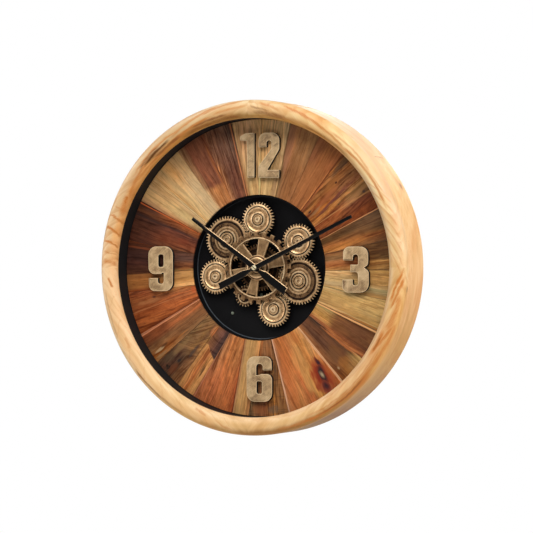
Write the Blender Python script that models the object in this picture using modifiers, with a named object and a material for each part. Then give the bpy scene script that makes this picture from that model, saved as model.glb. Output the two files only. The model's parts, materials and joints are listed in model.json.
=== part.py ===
"""Wall clock with a round wooden rim, a dial of radial planks and an open
gear train in a black recess.

Frame: metres, +Z up, the dial faces -Y, +X is to the right of a person who
looks at the dial. The origin is the centre of the clock's box: on the dial's
axis, halfway between the bead of the rim (y = -42.5 mm) and the rim's flat
back (y = +42.5 mm). Lengths below are in millimetres and are turned into
metres by MM.
"""
import math

import bmesh
import bpy
from mathutils import Matrix, Vector

MM = 0.001

# ---------------------------------------------------------------- dimensions
# rim: a turned wooden ring with a half-round bead on its front
RIM_R = 270.0            # outer radius
RIM_FRONT = -42.5        # apex of the bead
RIM_BACK = 42.5          # flat back, against the wall
RIM_LIP_R = 240.7        # inner edge of the bead
RIM_LIP_Y = -30.0
RIM_SIDE_Y = -29.0       # where the bead meets the straight side
RIM_BORE_R = 243.7       # bore behind the lip
RIM_STEPS = 64

# liner: a black band on the rim's bore
LINER_IN, LINER_OUT = 241.2, 243.4
LINER_FRONT, LINER_BACK = -28.2, 14.3

# dial: radial planks glued on a round board with a hole for the gear tray
PLANK_IN, PLANK_OUT = 117.6, 240.8
PLANK_FRONT, PLANK_BACK = 0.0, 5.0
PLANK_GAP = 0.36
BOARD_FRONT, BOARD_BACK = 5.3, 14.3
BOARD_IN = 117.6

# gear tray: a black pressed-steel cup with a flange on its back
TRAY_IN, TRAY_OUT, TRAY_FLANGE_R = 116.0, 117.2, 127.0
TRAY_FRONT, TRAY_FLOOR, TRAY_BACK = 0.2, 13.5, 15.8
TRAY_FLANGE_Y = 14.6

# fine-tooth gears, all of one module and in one plane
MODULE = 1.6
ADDENDUM, DEDENDUM = 0.95, 1.20          # in modules
GEAR_FRONT, GEAR_BACK = 4.0, 9.0
TEETH_CENTRE, TEETH_LARGE, TEETH_SMALL, TEETH_PINION = 46, 46, 34, 20
# direction of each gear's centre from the gear that it meshes with, in
# degrees, anticlockwise from +X as the dial is seen
DIR_LARGE_LEFT, DIR_LARGE_RIGHT = 141.5, -17.1
DIR_SMALL_TOP, DIR_SMALL_LEFT = 30.2, -108.9
DIR_SMALL_RIGHT, DIR_SMALL_BOTTOM = 91.3, -134.2
DIR_PINION = -119.0
ARBOR_R, ARBOR_HOLE_R, ARBOR_END = 1.5, 1.9, 15.5
SHOULDER_R, SHOULDER_BACK = 4.0, 13.2

# large open wheel in front of the fine gears
WHEEL_TEETH = 24
WHEEL_TIP, WHEEL_ROOT, WHEEL_RING_IN = 58.8, 53.4, 47.0
WHEEL_FRONT, WHEEL_BACK = -4.5, 0.5
WHEEL_PHASE = -2.0                       # first tooth, degrees clockwise from 12
SPOKES, SPOKE_PHASE = 6, 14.0
SPOKE_HUB_W, SPOKE_RIM_W = 12.0, 20.0
SPOKE_FRONT, SPOKE_BACK = -3.0, 0.2
HUB_FLANGE_R, HUB_R, HUB_FRONT = 20.5, 17.5, -8.0
HUB_BORE = 4.6

# going train: quartz movement, bush, hour pipe, minute arbor
CASE_SIZE, CASE_FRONT, CASE_BACK = 56.0, 16.1, 32.1
BUSH_IN, BUSH_OUT, BUSH_FRONT = 2.9, 4.2, -9.8
CLIP_R, CLIP_FRONT, CLIP_BACK = 6.2, -9.6, -8.4    # ring that keeps the wheel on its bush
PIPE_IN, PIPE_OUT, PIPE_BACK = 1.8, 2.6, 24.0
ARBOR_MIN_R = 1.45
CELL_R, CELL_L = 7.1, 50.0
KNOB_R, KNOB_FRONT, KNOB_BACK = 7.0, 32.6, 39.0

# hands, shown at ten past ten
HOUR_ANGLE, MINUTE_ANGLE = 305.3, 64.3   # degrees clockwise from 12
HOUR_FRONT, HOUR_BACK = -12.6, -10.6
MIN_FRONT, MIN_BACK = -15.9, -14.1
# half outline of each hand: distance along the hand, half width
HOUR_SHAPE = [(139.0, 2.7), (3.0, 5.0), (-3.5, 4.6), (-9.0, 2.8), (-20.0, 6.4), (-66.0, 6.8)]
MIN_SHAPE = [(188.0, 2.5), (3.0, 4.4), (-3.5, 4.1), (-9.0, 2.4), (-22.0, 5.6), (-70.0, 6.0)]
NUT_R, NUT_FRONT, NUT_BACK = 4.0, -18.8, -16.2

# gear motor with its own cells and switch
MOTOR_X, MOTOR_Z = (-84.0, -15.0), (-106.0, -33.0)
MOTOR_FRONT, MOTOR_BACK = 16.1, 34.1
SWITCH_TRAVEL = 4.0

# numerals: slabs glued on the planks
NUM_FRONT, NUM_BACK = -7.0, -0.3

# wall plate let into the back of the rim, above the dial
PLATE_Z, PLATE_W, PLATE_H = 256.5, 52.0, 16.0
PLATE_FRONT, PLATE_BACK = 40.6, 42.1

# plank seams, clockwise from 12: angle at the outer end and at the inner end
SEAMS = [
    (1.7, 1.8), (13.9, 15.1), (27.1, 27.6), (39.4, 39.6), (65.3, 67.5),
    (79.0, 79.5), (90.6, 92.3), (103.1, 104.4), (115.9, 117.9),
    (128.5, 130.7), (141.1, 144.0), (167.0, 168.8), (184.1, 177.2),
    (191.2, 191.7), (209.4, 205.9), (217.6, 217.2), (229.7, 229.0),
    (242.2, 244.3), (260.2, 256.1), (267.4, 268.4), (281.1, 280.8),
    (297.4, 298.1), (308.4, 308.5), (322.6, 323.4), (335.5, 336.4),
    (348.4, 350.6),
]
PALE, TAN, ORANGE, RUST, BROWN, MAROON = (
    (0.62, 0.42, 0.20), (0.46, 0.27, 0.11), (0.48, 0.19, 0.06),
    (0.36, 0.11, 0.04), (0.17, 0.08, 0.03), (0.10, 0.03, 0.015))
PLANK_WOOD = [
    PALE, RUST, RUST, TAN, ORANGE, TAN, PALE, PALE, BROWN, BROWN, ORANGE,
    BROWN, PALE, ORANGE, TAN, BROWN, BROWN, ORANGE, TAN, MAROON, MAROON,
    PALE, PALE, RUST, MAROON, PALE,
]

# ---------------------------------------------------------------- the scene
for ob in list(bpy.data.objects):
    bpy.data.objects.remove(ob, do_unlink=True)

parts = bpy.data.collections.new("skeleton_wall_clock")
cutters = bpy.data.collections.new("cutters")
bpy.context.scene.collection.children.link(parts)
bpy.context.scene.collection.children.link(cutters)

FACE_ON = Matrix.Rotation(math.pi / 2, 4, "X")   # drawing plane -> dial plane


def material(name, rgb, rough, metal=0.0):
    mat = bpy.data.materials.new(name)
    mat.use_nodes = True
    bsdf = mat.node_tree.nodes["Principled BSDF"]
    bsdf.inputs["Base Color"].default_value = (*rgb, 1.0)
    bsdf.inputs["Roughness"].default_value = rough
    bsdf.inputs["Metallic"].default_value = metal
    return mat


PINE = ((0.78, 0.50, 0.24), 0.45, 0.0)
BLACK = ((0.014, 0.013, 0.013), 0.5, 0.0)
BRONZE = ((0.46, 0.29, 0.13), 0.36, 0.9)
PEWTER = ((0.50, 0.39, 0.27), 0.42, 0.75)
BRASS = ((0.72, 0.58, 0.34), 0.3, 1.0)
STEEL = ((0.42, 0.43, 0.42), 0.35, 1.0)
FIBRE = ((0.30, 0.19, 0.10), 0.8, 0.0)
PLASTIC = ((0.02, 0.02, 0.022), 0.45, 0.0)
SLEEVE = ((0.05, 0.20, 0.09), 0.4, 0.0)


def polar(r, deg):
    """Point of the dial plane at radius r, deg clockwise from 12."""
    a = math.radians(deg)
    return (r * math.sin(a), r * math.cos(a))


def towards(start, dist, deg):
    """Point at dist from start, deg anticlockwise from +X."""
    a = math.radians(deg)
    return (start[0] + dist * math.cos(a), start[1] + dist * math.sin(a))


def rounded(corners, steps=3):
    """Outline through corners (x, z, radius), each corner rounded."""
    out = []
    n = len(corners)
    for i, (x, z, r) in enumerate(corners):
        p = Vector((x, z))
        a = Vector(corners[i - 1][:2]) - p
        b = Vector(corners[(i + 1) % n][:2]) - p
        half = a.angle(b) / 2
        cut = min(r / math.tan(half), 0.48 * a.length, 0.48 * b.length)
        if r < 1.2 or cut < 0.3:
            out.append((x, z))
            continue
        rr = cut * math.tan(half)
        start, end = p + a.normalized() * cut, p + b.normalized() * cut
        mid = p + (a.normalized() + b.normalized()).normalized() * (rr / math.sin(half))
        v0, v1 = start - mid, end - mid
        sweep = v0.angle(v1)
        sign = 1.0 if v0.x * v1.y - v0.y * v1.x > 0 else -1.0
        k = steps if r > 6 else max(2, steps - 1)
        for j in range(k + 1):
            t = sign * sweep * j / k
            out.append((mid.x + v0.x * math.cos(t) - v0.y * math.sin(t),
                        mid.y + v0.x * math.sin(t) + v0.y * math.cos(t)))
    return out


def circle(r, n, centre=(0.0, 0.0)):
    return [(centre[0] + r * math.cos(2 * math.pi * k / n),
             centre[1] + r * math.sin(2 * math.pi * k / n)) for k in range(n)]


def hide(ob):
    """Keep a cutter or a piece to be joined out of the model."""
    for col in list(ob.users_collection):
        col.objects.unlink(ob)
    cutters.objects.link(ob)
    ob.hide_render = True
    ob.display_type = "WIRE"
    return ob


def slab(name, loops, front, back, finish):
    """Flat piece: outlines in the dial plane, extruded from front to back."""
    curve = bpy.data.curves.new(name, "CURVE")
    curve.dimensions = "2D"
    curve.fill_mode = "BOTH"
    curve.extrude = abs(back - front) / 2 * MM
    for loop in loops:
        spline = curve.splines.new("POLY")
        spline.points.add(len(loop) - 1)
        for point, (x, z) in zip(spline.points, loop):
            point.co = (x * MM, z * MM, 0.0, 1.0)
        spline.use_cyclic_u = True
    drawn = bpy.data.objects.new(name + "_outline", curve)
    parts.objects.link(drawn)
    drawn.rotation_euler = (math.pi / 2, 0.0, 0.0)
    drawn.location = (0.0, (front + back) / 2 * MM, 0.0)
    bpy.context.view_layer.update()
    graph = bpy.context.evaluated_depsgraph_get()
    mesh = bpy.data.meshes.new_from_object(drawn.evaluated_get(graph))
    ob = bpy.data.objects.new(name, mesh)
    ob.matrix_world = drawn.matrix_world.copy()
    bpy.data.objects.remove(drawn, do_unlink=True)
    bm = bmesh.new()
    bm.from_mesh(mesh)
    bmesh.ops.remove_doubles(bm, verts=bm.verts, dist=1e-6)
    bmesh.ops.recalc_face_normals(bm, faces=bm.faces)
    bm.to_mesh(mesh)
    bm.free()
    mesh.materials.clear()
    mesh.materials.append(material(name, *finish))
    parts.objects.link(ob)
    return ob


def turned(name, profile, finish, steps=24, centre=(0.0, 0.0), ring=False):
    """Turned piece about an axis along Y: profile of (radius, y) points."""
    area = sum(a[0] * b[1] - b[0] * a[1]
               for a, b in zip(profile, profile[1:] + profile[:1]))
    if area < 0:
        profile = profile[::-1]
    mesh = bpy.data.meshes.new(name)
    bm = bmesh.new()
    verts = [bm.verts.new((r * MM, 0.0, -y * MM)) for r, y in profile]
    for a, b in zip(verts, verts[1:]):
        bm.edges.new((a, b))
    if ring:
        bm.edges.new((verts[-1], verts[0]))
    bm.to_mesh(mesh)
    bm.free()
    ob = bpy.data.objects.new(name, mesh)
    parts.objects.link(ob)
    ob.rotation_euler = (math.pi / 2, 0.0, 0.0)
    ob.location = (centre[0] * MM, 0.0, centre[1] * MM)
    screw = ob.modifiers.new("turn", "SCREW")
    screw.axis = "Z"
    screw.angle = 2 * math.pi
    screw.steps = steps
    screw.render_steps = steps
    screw.use_merge_vertices = True
    screw.merge_threshold = 1e-5
    screw.use_smooth_shade = False
    mesh.materials.append(material(name, *finish))
    return ob


def box(name, x, y, z, finish, bevel=0.0):
    """Block between the x, y and z limits, with its long edges bevelled."""
    bpy.ops.mesh.primitive_cube_add(size=1.0)
    ob = bpy.context.active_object
    ob.name = name
    ob.data.name = name
    size = [(b - a) * MM for a, b in (x, y, z)]
    ob.data.transform(Matrix.Diagonal((*size, 1.0)))
    ob.location = [(a + b) / 2 * MM for a, b in (x, y, z)]
    for col in list(ob.users_collection):
        col.objects.unlink(ob)
    parts.objects.link(ob)
    ob.data.materials.append(material(name, *finish))
    if bevel:
        mod = ob.modifiers.new("edges", "BEVEL")
        mod.width = bevel * MM
        mod.segments = 1
        mod.limit_method = "ANGLE"
    return ob


def boolean(ob, other, operation):
    hide(other)
    mod = ob.modifiers.new(other.name, "BOOLEAN")
    mod.operation = operation
    mod.solver = "EXACT"
    mod.object = other
    return ob


def cut(ob, other):
    return boolean(ob, other, "DIFFERENCE")


def join(ob, other):
    return boolean(ob, other, "UNION")


# ---------------------------------------------------------------- rim, liner
bead = []
mid_r, mid_y = (RIM_LIP_R + RIM_R) / 2, (RIM_LIP_Y + RIM_SIDE_Y) / 2
for k in range(11):
    t = math.pi * k / 10
    bead.append((mid_r - (RIM_R - RIM_LIP_R) / 2 * math.cos(t),
                 mid_y + (mid_y - RIM_FRONT) * -math.sin(t)))
bead[0], bead[-1] = (RIM_LIP_R, RIM_LIP_Y), (RIM_R, RIM_SIDE_Y)
rim = turned("rim", bead + [
    (RIM_R, RIM_BACK - 2.0), (RIM_R - 2.0, RIM_BACK), (RIM_BORE_R, RIM_BACK),
    (RIM_BORE_R, RIM_LIP_Y + 1.5), (RIM_LIP_R, RIM_LIP_Y + 1.5)],
    PINE, RIM_STEPS, ring=True)
cut(rim, box("plate_pocket", (-PLATE_W / 2 - 0.4, PLATE_W / 2 + 0.4),
             (PLATE_FRONT - 0.3, RIM_BACK + 5.0),
             (PLATE_Z - PLATE_H / 2 - 0.4, PLATE_Z + PLATE_H / 2 + 0.4), PINE))
cut(rim, turned("screw_head_room", [(0.0, 32.0), (6.5, 32.0), (6.5, 41.5), (0.0, 41.5)],
                PINE, 16, centre=(0.0, PLATE_Z - 1.5)))

turned("liner", [
    (LINER_IN + 0.6, LINER_FRONT), (LINER_OUT, LINER_FRONT), (LINER_OUT, LINER_BACK),
    (LINER_IN, LINER_BACK), (LINER_IN, LINER_FRONT + 0.8)],
    BLACK, RIM_STEPS, ring=True)

# ---------------------------------------------------------------- the dial
turned("back_board", [
    (BOARD_IN, BOARD_FRONT), (PLANK_OUT, BOARD_FRONT),
    (PLANK_OUT, BOARD_BACK), (BOARD_IN, BOARD_BACK)],
    FIBRE, RIM_STEPS, ring=True)

for index, (outer, inner) in enumerate(SEAMS):
    outer_2, inner_2 = SEAMS[(index + 1) % len(SEAMS)]
    outer_2 += 360.0 if outer_2 < outer else 0.0
    inner_2 += 360.0 if inner_2 < inner else 0.0
    gap_out = math.degrees(PLANK_GAP / 2 / PLANK_OUT)
    gap_in = math.degrees(PLANK_GAP / 2 / PLANK_IN)
    a0, a1 = outer + gap_out, outer_2 - gap_out
    b0, b1 = inner + gap_in, inner_2 - gap_in
    n_out = max(2, round((a1 - a0) / 5.6))
    n_in = max(1, round((b1 - b0) / 9.0))
    loop = [polar(PLANK_OUT - 0.3, a0 + (a1 - a0) * k / n_out) for k in range(n_out + 1)]
    loop += [polar(PLANK_IN + 0.6, b1 + (b0 - b1) * k / n_in) for k in range(n_in + 1)]
    slab("plank_%02d" % (index + 1), [loop], PLANK_FRONT, PLANK_BACK,
         (PLANK_WOOD[index], 0.5, 0.0))

# ---------------------------------------------------------------- numerals
ONE = [(-4.0, 38.0, 0), (-3.8, -34.0, 0), (-16.4, -34.0, 0), (-17.4, 25.6, 0),
       (-29.5, 26.4, 0), (-29.5, 33.0, 3), (-19.0, 38.0, 6)]
TWO = [(3.4, -34.6, 0), (40.0, -35.4, 0), (40.0, -22.6, 0), (19.0, -22.4, 0),
       (40.3, 11.0, 12), (40.3, 38.3, 15), (4.2, 37.5, 14), (3.6, 14.6, 0),
       (17.6, 14.6, 0), (17.6, 25.2, 4), (26.6, 25.2, 4), (26.2, 12.0, 6),
       (3.4, -16.0, 9)]
THREE = [(-19.4, 11.6, 0), (-19.4, 33.4, 12), (23.6, 33.4, 13), (23.6, 4.5, 6),
         (16.6, 0.0, 0), (24.6, -6.0, 7), (24.6, -39.6, 14), (-21.0, -39.6, 14),
         (-21.0, -19.0, 0), (-3.0, -19.0, 0), (-3.0, -28.4, 4), (6.2, -28.4, 4),
         (6.2, -7.2, 4), (-7.0, -7.2, 0), (-7.0, 4.6, 0), (6.4, 4.6, 2.5),
         (6.4, 20.8, 4), (-2.6, 20.8, 4), (-2.6, 11.6, 0)]
SIX = [(-17.6, 36.6, 14), (26.6, 36.6, 14), (27.0, 14.6, 0), (11.0, 14.6, 0),
       (11.0, 24.6, 5), (-0.6, 24.6, 5), (-0.6, 6.2, 0), (3.6, 6.2, 0),
       (8.6, 8.4, 3), (27.4, 8.4, 11), (27.6, -36.6, 14), (-17.6, -36.6, 14)]
SIX_EYE = [(0.1, -23.8, 3), (9.6, -23.8, 3), (9.6, -3.4, 3), (0.1, -3.4, 3)]
NINE = [(-22.6, -17.0, 0), (-22.0, -38.4, 14), (21.4, -38.4, 14), (21.6, 35.0, 14),
        (-23.8, 35.0, 14), (-23.0, -10.2, 11), (0.6, -10.2, 2), (2.0, -8.2, 0),
        (5.0, -8.2, 0), (5.0, -26.4, 5), (-6.0, -26.4, 5), (-6.0, -17.0, 0)]
NINE_EYE = [(-5.0, 1.2, 3), (4.6, 1.2, 3), (4.6, 22.0, 3), (-5.0, 22.0, 3)]
for name, shapes, (cx, cz) in (
        ("numeral_12_one", [ONE], (0.0, 180.0)),
        ("numeral_12_two", [TWO], (0.0, 180.0)),
        ("numeral_3", [THREE], (171.0, 0.0)),
        ("numeral_6", [SIX, SIX_EYE], (0.0, -180.0)),
        ("numeral_9", [NINE, NINE_EYE], (-173.0, 0.0))):
    loops = [[(x + cx, z + cz) for x, z in rounded(s)] for s in shapes]
    slab(name, loops, NUM_FRONT, NUM_BACK, PEWTER)


# ---------------------------------------------------------------- gear train
def pitch_radius(teeth):
    return MODULE * teeth / 2


def tooth_loop(teeth, centre, first):
    """Outline of a toothed disc; first is one tooth's direction in degrees,
    anticlockwise from +X."""
    tip = pitch_radius(teeth) + ADDENDUM * MODULE
    root = pitch_radius(teeth) - DEDENDUM * MODULE
    step = 360.0 / teeth
    out = []
    for k in range(teeth):
        a = first + k * step
        for r, f in ((root, -0.27), (tip, -0.11), (tip, 0.11), (root, 0.27)):
            out.append(towards(centre, r, a + f * step))
    return out


def meshed(first, teeth, direction, teeth_2):
    """Direction of a tooth of a gear of teeth_2 that meshes, at direction,
    with a gear of teeth whose tooth is at first: tooth faces gap."""
    step, step_2 = 360.0 / teeth, 360.0 / teeth_2
    share = ((direction - first) / step) % 1.0
    return direction + 180.0 - step_2 * (0.5 - share)


def spacing(a, b):
    return pitch_radius(a) + pitch_radius(b)


AXIS = (0.0, 0.0)
C, L, S, P = TEETH_CENTRE, TEETH_LARGE, TEETH_SMALL, TEETH_PINION
large_left = towards(AXIS, spacing(C, L), DIR_LARGE_LEFT)
large_right = towards(AXIS, spacing(C, L), DIR_LARGE_RIGHT)
small_top = towards(large_left, spacing(L, S), DIR_SMALL_TOP)
small_left = towards(large_left, spacing(L, S), DIR_SMALL_LEFT)
small_right = towards(large_right, spacing(L, S), DIR_SMALL_RIGHT)
small_bottom = towards(large_right, spacing(L, S), DIR_SMALL_BOTTOM)
pinion_at = towards(AXIS, spacing(C, P), DIR_PINION)

first_c = 90.0
first_ll = meshed(first_c, C, DIR_LARGE_LEFT, L)
first_lr = meshed(first_c, C, DIR_LARGE_RIGHT, L)
GEARS = [
    ("gear_large_left", large_left, L, first_ll),
    ("gear_large_right", large_right, L, first_lr),
    ("gear_small_top", small_top, S, meshed(first_ll, L, DIR_SMALL_TOP, S)),
    ("gear_small_left", small_left, S, meshed(first_ll, L, DIR_SMALL_LEFT, S)),
    ("gear_small_right", small_right, S, meshed(first_lr, L, DIR_SMALL_RIGHT, S)),
    ("gear_small_bottom", small_bottom, S, meshed(first_lr, L, DIR_SMALL_BOTTOM, S)),
]
for name, at, teeth, first in GEARS:
    gear = slab(name, [tooth_loop(teeth, at, first)], GEAR_FRONT, GEAR_BACK, BRONZE)
    disc_r, hub_r = (30.0, 11.5) if teeth == L else (21.0, 8.5)
    join(gear, turned(name + "_body", [
        (0.0, 0.8), (hub_r, 0.8), (hub_r, 2.4), (disc_r, 2.4), (disc_r, 6.0),
        (SHOULDER_R, 6.0), (SHOULDER_R, SHOULDER_BACK), (ARBOR_R, SHOULDER_BACK),
        (ARBOR_R, ARBOR_END), (0.0, ARBOR_END)], BRONZE, 16, centre=at))

# the pinion's arbor runs on into the motor
pinion = slab("drive_pinion", [tooth_loop(P, pinion_at, meshed(first_c, C, DIR_PINION, P))],
              GEAR_FRONT, GEAR_BACK, BRONZE)
join(pinion, turned("drive_pinion_body", [
    (0.0, 2.8), (10.0, 2.8), (10.0, 6.0), (SHOULDER_R, 6.0), (SHOULDER_R, SHOULDER_BACK),
    (ARBOR_R, SHOULDER_BACK), (ARBOR_R, 24.0), (0.0, 24.0)], BRONZE, 16, centre=pinion_at))

# fine gear on the dial's axis, fixed behind the large open wheel
centre_gear = slab("centre_gear", [tooth_loop(C, AXIS, first_c), circle(HUB_BORE, 20)],
                   GEAR_FRONT, GEAR_BACK, BRONZE)

# large open wheel: toothed ring, spokes and hub are one casting
ring_loop = []
step = 360.0 / WHEEL_TEETH
for k in range(WHEEL_TEETH):
    a = WHEEL_PHASE + k * step
    ring_loop += [polar(WHEEL_ROOT, a - 0.27 * step), polar(WHEEL_TIP, a - 0.22 * step),
                  polar(WHEEL_TIP, a + 0.22 * step), polar(WHEEL_ROOT, a + 0.27 * step)]
wheel = slab("centre_wheel", [ring_loop, circle(WHEEL_RING_IN, 48)],
             WHEEL_FRONT, WHEEL_BACK, BRONZE)
star = []
for k in range(SPOKES):
    a = math.radians(SPOKE_PHASE + 60.0 * k)
    along, across = Vector((math.sin(a), math.cos(a))), Vector((math.cos(a), -math.sin(a)))
    for r, w in ((15.0, -SPOKE_HUB_W), (WHEEL_RING_IN + 2.5, -SPOKE_RIM_W),
                 (WHEEL_RING_IN + 2.5, SPOKE_RIM_W), (15.0, SPOKE_HUB_W)):
        p = along * r + across * (w / 2)
        star.append((p.x, p.y))
join(wheel, slab("spokes", [star], SPOKE_FRONT, SPOKE_BACK, BRONZE))
join(wheel, turned("hub", [
    (0.0, HUB_FRONT), (HUB_R - 1.0, HUB_FRONT), (HUB_R, HUB_FRONT + 1.0), (HUB_R, -5.0),
    (HUB_FLANGE_R, -4.6), (HUB_FLANGE_R, 0.9), (10.0, 0.9), (10.0, 3.7), (0.0, 3.7)],
    BRONZE, 32))
cut(wheel, turned("hub_bore", [(0.0, -12.0), (HUB_BORE, -12.0), (HUB_BORE, 8.0), (0.0, 8.0)],
                  BRONZE, 20))

# ---------------------------------------------------------------- gear tray
tray = turned("gear_tray", [
    (0.0, TRAY_FLOOR), (TRAY_IN, TRAY_FLOOR), (TRAY_IN, TRAY_FRONT),
    (TRAY_OUT, TRAY_FRONT), (TRAY_OUT, TRAY_FLANGE_Y),
    (TRAY_FLANGE_R, TRAY_FLANGE_Y), (TRAY_FLANGE_R, TRAY_BACK), (0.0, TRAY_BACK)],
    BLACK, RIM_STEPS)
SCREWS = [("tray_screw_left", (-52.0, -74.0)), ("tray_screw_low", (0.0, -43.5))]
holes = [("bush_hole", AXIS, BUSH_OUT + 0.35), ("pinion_hole", pinion_at, ARBOR_HOLE_R)]
holes += [(name + "_hole", at, ARBOR_HOLE_R) for name, at, _, _ in GEARS]
holes += [(name + "_hole", at, 1.7) for name, at in SCREWS]
for name, at, r in holes:
    cut(tray, turned(name, [(0.0, 12.0), (r, 12.0), (r, 18.0), (0.0, 18.0)], BLACK, 12, centre=at))
for name, at in SCREWS:
    turned(name, [(0.0, 11.4), (1.6, 11.5), (2.7, 12.3), (2.7, 13.2), (1.35, 13.2),
                  (1.35, 15.7), (0.0, 15.7)], STEEL, 16, centre=at)

# ---------------------------------------------------------------- going train
half = CASE_SIZE / 2
case = box("movement_case", (-half, half), (CASE_FRONT, CASE_BACK), (-half, half), PLASTIC, 1.5)
cut(case, turned("case_bore", [(0.0, 10.0), (3.1, 10.0), (3.1, 40.0), (0.0, 40.0)], PLASTIC, 16))
cut(case, box("cell_well", (-CELL_L / 2 - 0.8, CELL_L / 2 + 0.8), (17.6, 40.0),
              (-26.6, -10.8), PLASTIC))
CELL_AT = (-18.7, 25.3)


def cell(name, x0, z, y, length=CELL_L):
    """AA cell lying along X, with its raised contact."""
    prof = [(0.0, 0.0), (CELL_R - 0.6, 0.0), (CELL_R, 0.6), (CELL_R, length - 2.0),
            (CELL_R - 0.6, length - 1.4), (2.7, length - 1.4), (2.7, length), (0.0, length)]
    ob = turned(name, prof, SLEEVE, 16)
    ob.rotation_euler = (0.0, -math.pi / 2, 0.0)
    ob.location = (x0 * MM, y * MM, z * MM)
    return ob


cell("movement_cell", -CELL_L / 2, CELL_AT[0], CELL_AT[1])
turned("movement_bush", [(BUSH_IN, BUSH_FRONT), (BUSH_OUT, BUSH_FRONT),
                         (BUSH_OUT, CASE_FRONT - 0.3), (BUSH_IN, CASE_FRONT - 0.3)],
       BRASS, 16, ring=True)
turned("wheel_clip", [(BUSH_OUT + 0.3, CLIP_FRONT), (CLIP_R, CLIP_FRONT), (CLIP_R, CLIP_BACK),
                      (BUSH_OUT + 0.3, CLIP_BACK)], STEEL, 16, ring=True)
turned("minute_arbor", [(0.0, MIN_FRONT), (ARBOR_MIN_R, MIN_FRONT),
                        (ARBOR_MIN_R, KNOB_FRONT - 0.3), (0.0, KNOB_FRONT - 0.3)], BRASS, 12)
turned("setting_knob", [(0.0, KNOB_FRONT), (3.0, KNOB_FRONT), (3.0, 34.0), (KNOB_R, 34.0),
                        (KNOB_R, KNOB_BACK - 0.8), (KNOB_R - 0.8, KNOB_BACK), (0.0, KNOB_BACK)],
       PLASTIC, 20)


def hand_loop(shape, deg):
    """Full outline of a hand that points deg clockwise from 12."""
    a = math.radians(deg)
    along, across = Vector((math.sin(a), math.cos(a))), Vector((math.cos(a), -math.sin(a)))
    pts = [along * u + across * v for u, v in shape]
    pts += [along * u - across * v for u, v in reversed(shape)]
    return [(p.x, p.y) for p in pts]


hour = slab("hour_hand", [hand_loop(HOUR_SHAPE, HOUR_ANGLE)], HOUR_FRONT, HOUR_BACK, BLACK)
join(hour, turned("hour_pipe", [(0.0, HOUR_BACK - 1.0), (PIPE_OUT, HOUR_BACK - 1.0),
                                (PIPE_OUT, PIPE_BACK), (0.0, PIPE_BACK)], BRASS, 14))
cut(hour, turned("pipe_bore", [(0.0, -20.0), (PIPE_IN, -20.0), (PIPE_IN, 30.0), (0.0, 30.0)],
                 BRASS, 14))
slab("minute_hand", [hand_loop(MIN_SHAPE, MINUTE_ANGLE), circle(ARBOR_MIN_R + 0.35, 12)],
     MIN_FRONT, MIN_BACK, BLACK)
turned("hand_nut", [(0.0, NUT_FRONT), (NUT_R - 1.0, NUT_FRONT), (NUT_R, NUT_FRONT + 0.8),
                    (NUT_R, NUT_BACK), (0.0, NUT_BACK)], BRASS, 16)

# ---------------------------------------------------------------- gear motor
motor = box("gear_motor_case", MOTOR_X, (MOTOR_FRONT, MOTOR_BACK), MOTOR_Z, PLASTIC, 1.5)
cut(motor, turned("motor_bore", [(0.0, 10.0), (ARBOR_HOLE_R, 10.0), (ARBOR_HOLE_R, 25.0),
                                 (0.0, 25.0)], PLASTIC, 12, centre=pinion_at))
MOTOR_MID = (MOTOR_X[0] + MOTOR_X[1]) / 2 - 4.0
cut(motor, box("motor_well", (MOTOR_MID - CELL_L / 2 - 0.8, MOTOR_MID + CELL_L / 2 + 0.8),
               (18.0, 40.0), (-104.0, -71.5), PLASTIC))
cell("motor_cell_lower", MOTOR_MID - CELL_L / 2, -95.9, 26.0)
cell("motor_cell_upper", MOTOR_MID - CELL_L / 2, -79.6, 26.0)
cut(motor, box("switch_slot", (-72.0, -58.0), (29.0, 40.0), (-58.0, -52.0), PLASTIC))
box("power_switch", (-71.6, -71.6 + 13.2 - SWITCH_TRAVEL), (29.4, 36.4), (-57.6, -52.4),
    PLASTIC)

# ---------------------------------------------------------------- wall plate
keyhole = circle(4.6, 16, (0.0, PLATE_Z - 1.5))
slot = [(p[0], p[1]) for p in keyhole if p[1] < PLATE_Z + 2.6]
slot.sort(key=lambda p: math.atan2(p[1] - PLATE_Z + 1.5, p[0]) % (2 * math.pi)
          if p[0] < 0 or p[1] < PLATE_Z - 1.5 else math.atan2(p[1] - PLATE_Z + 1.5, p[0]) + 2 * math.pi)
slot += [(2.2, PLATE_Z + 5.4), (-2.2, PLATE_Z + 5.4)]
slab("hanger_plate", [rounded([(-PLATE_W / 2, PLATE_Z - PLATE_H / 2, 3),
                               (PLATE_W / 2, PLATE_Z - PLATE_H / 2, 3),
                               (PLATE_W / 2, PLATE_Z + PLATE_H / 2, 3),
                               (-PLATE_W / 2, PLATE_Z + PLATE_H / 2, 3)]), slot],
     PLATE_FRONT, PLATE_BACK, STEEL)

for ob in parts.objects:
    if not ob.modifiers:
        ob.data.shade_smooth()
        ob.data.set_sharp_from_angle(angle=math.radians(35.0))
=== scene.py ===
import json
import math

import bmesh
import bpy
import numpy as np
from mathutils import Matrix, Vector, noise
from mathutils.geometry import tessellate_polygon


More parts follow.
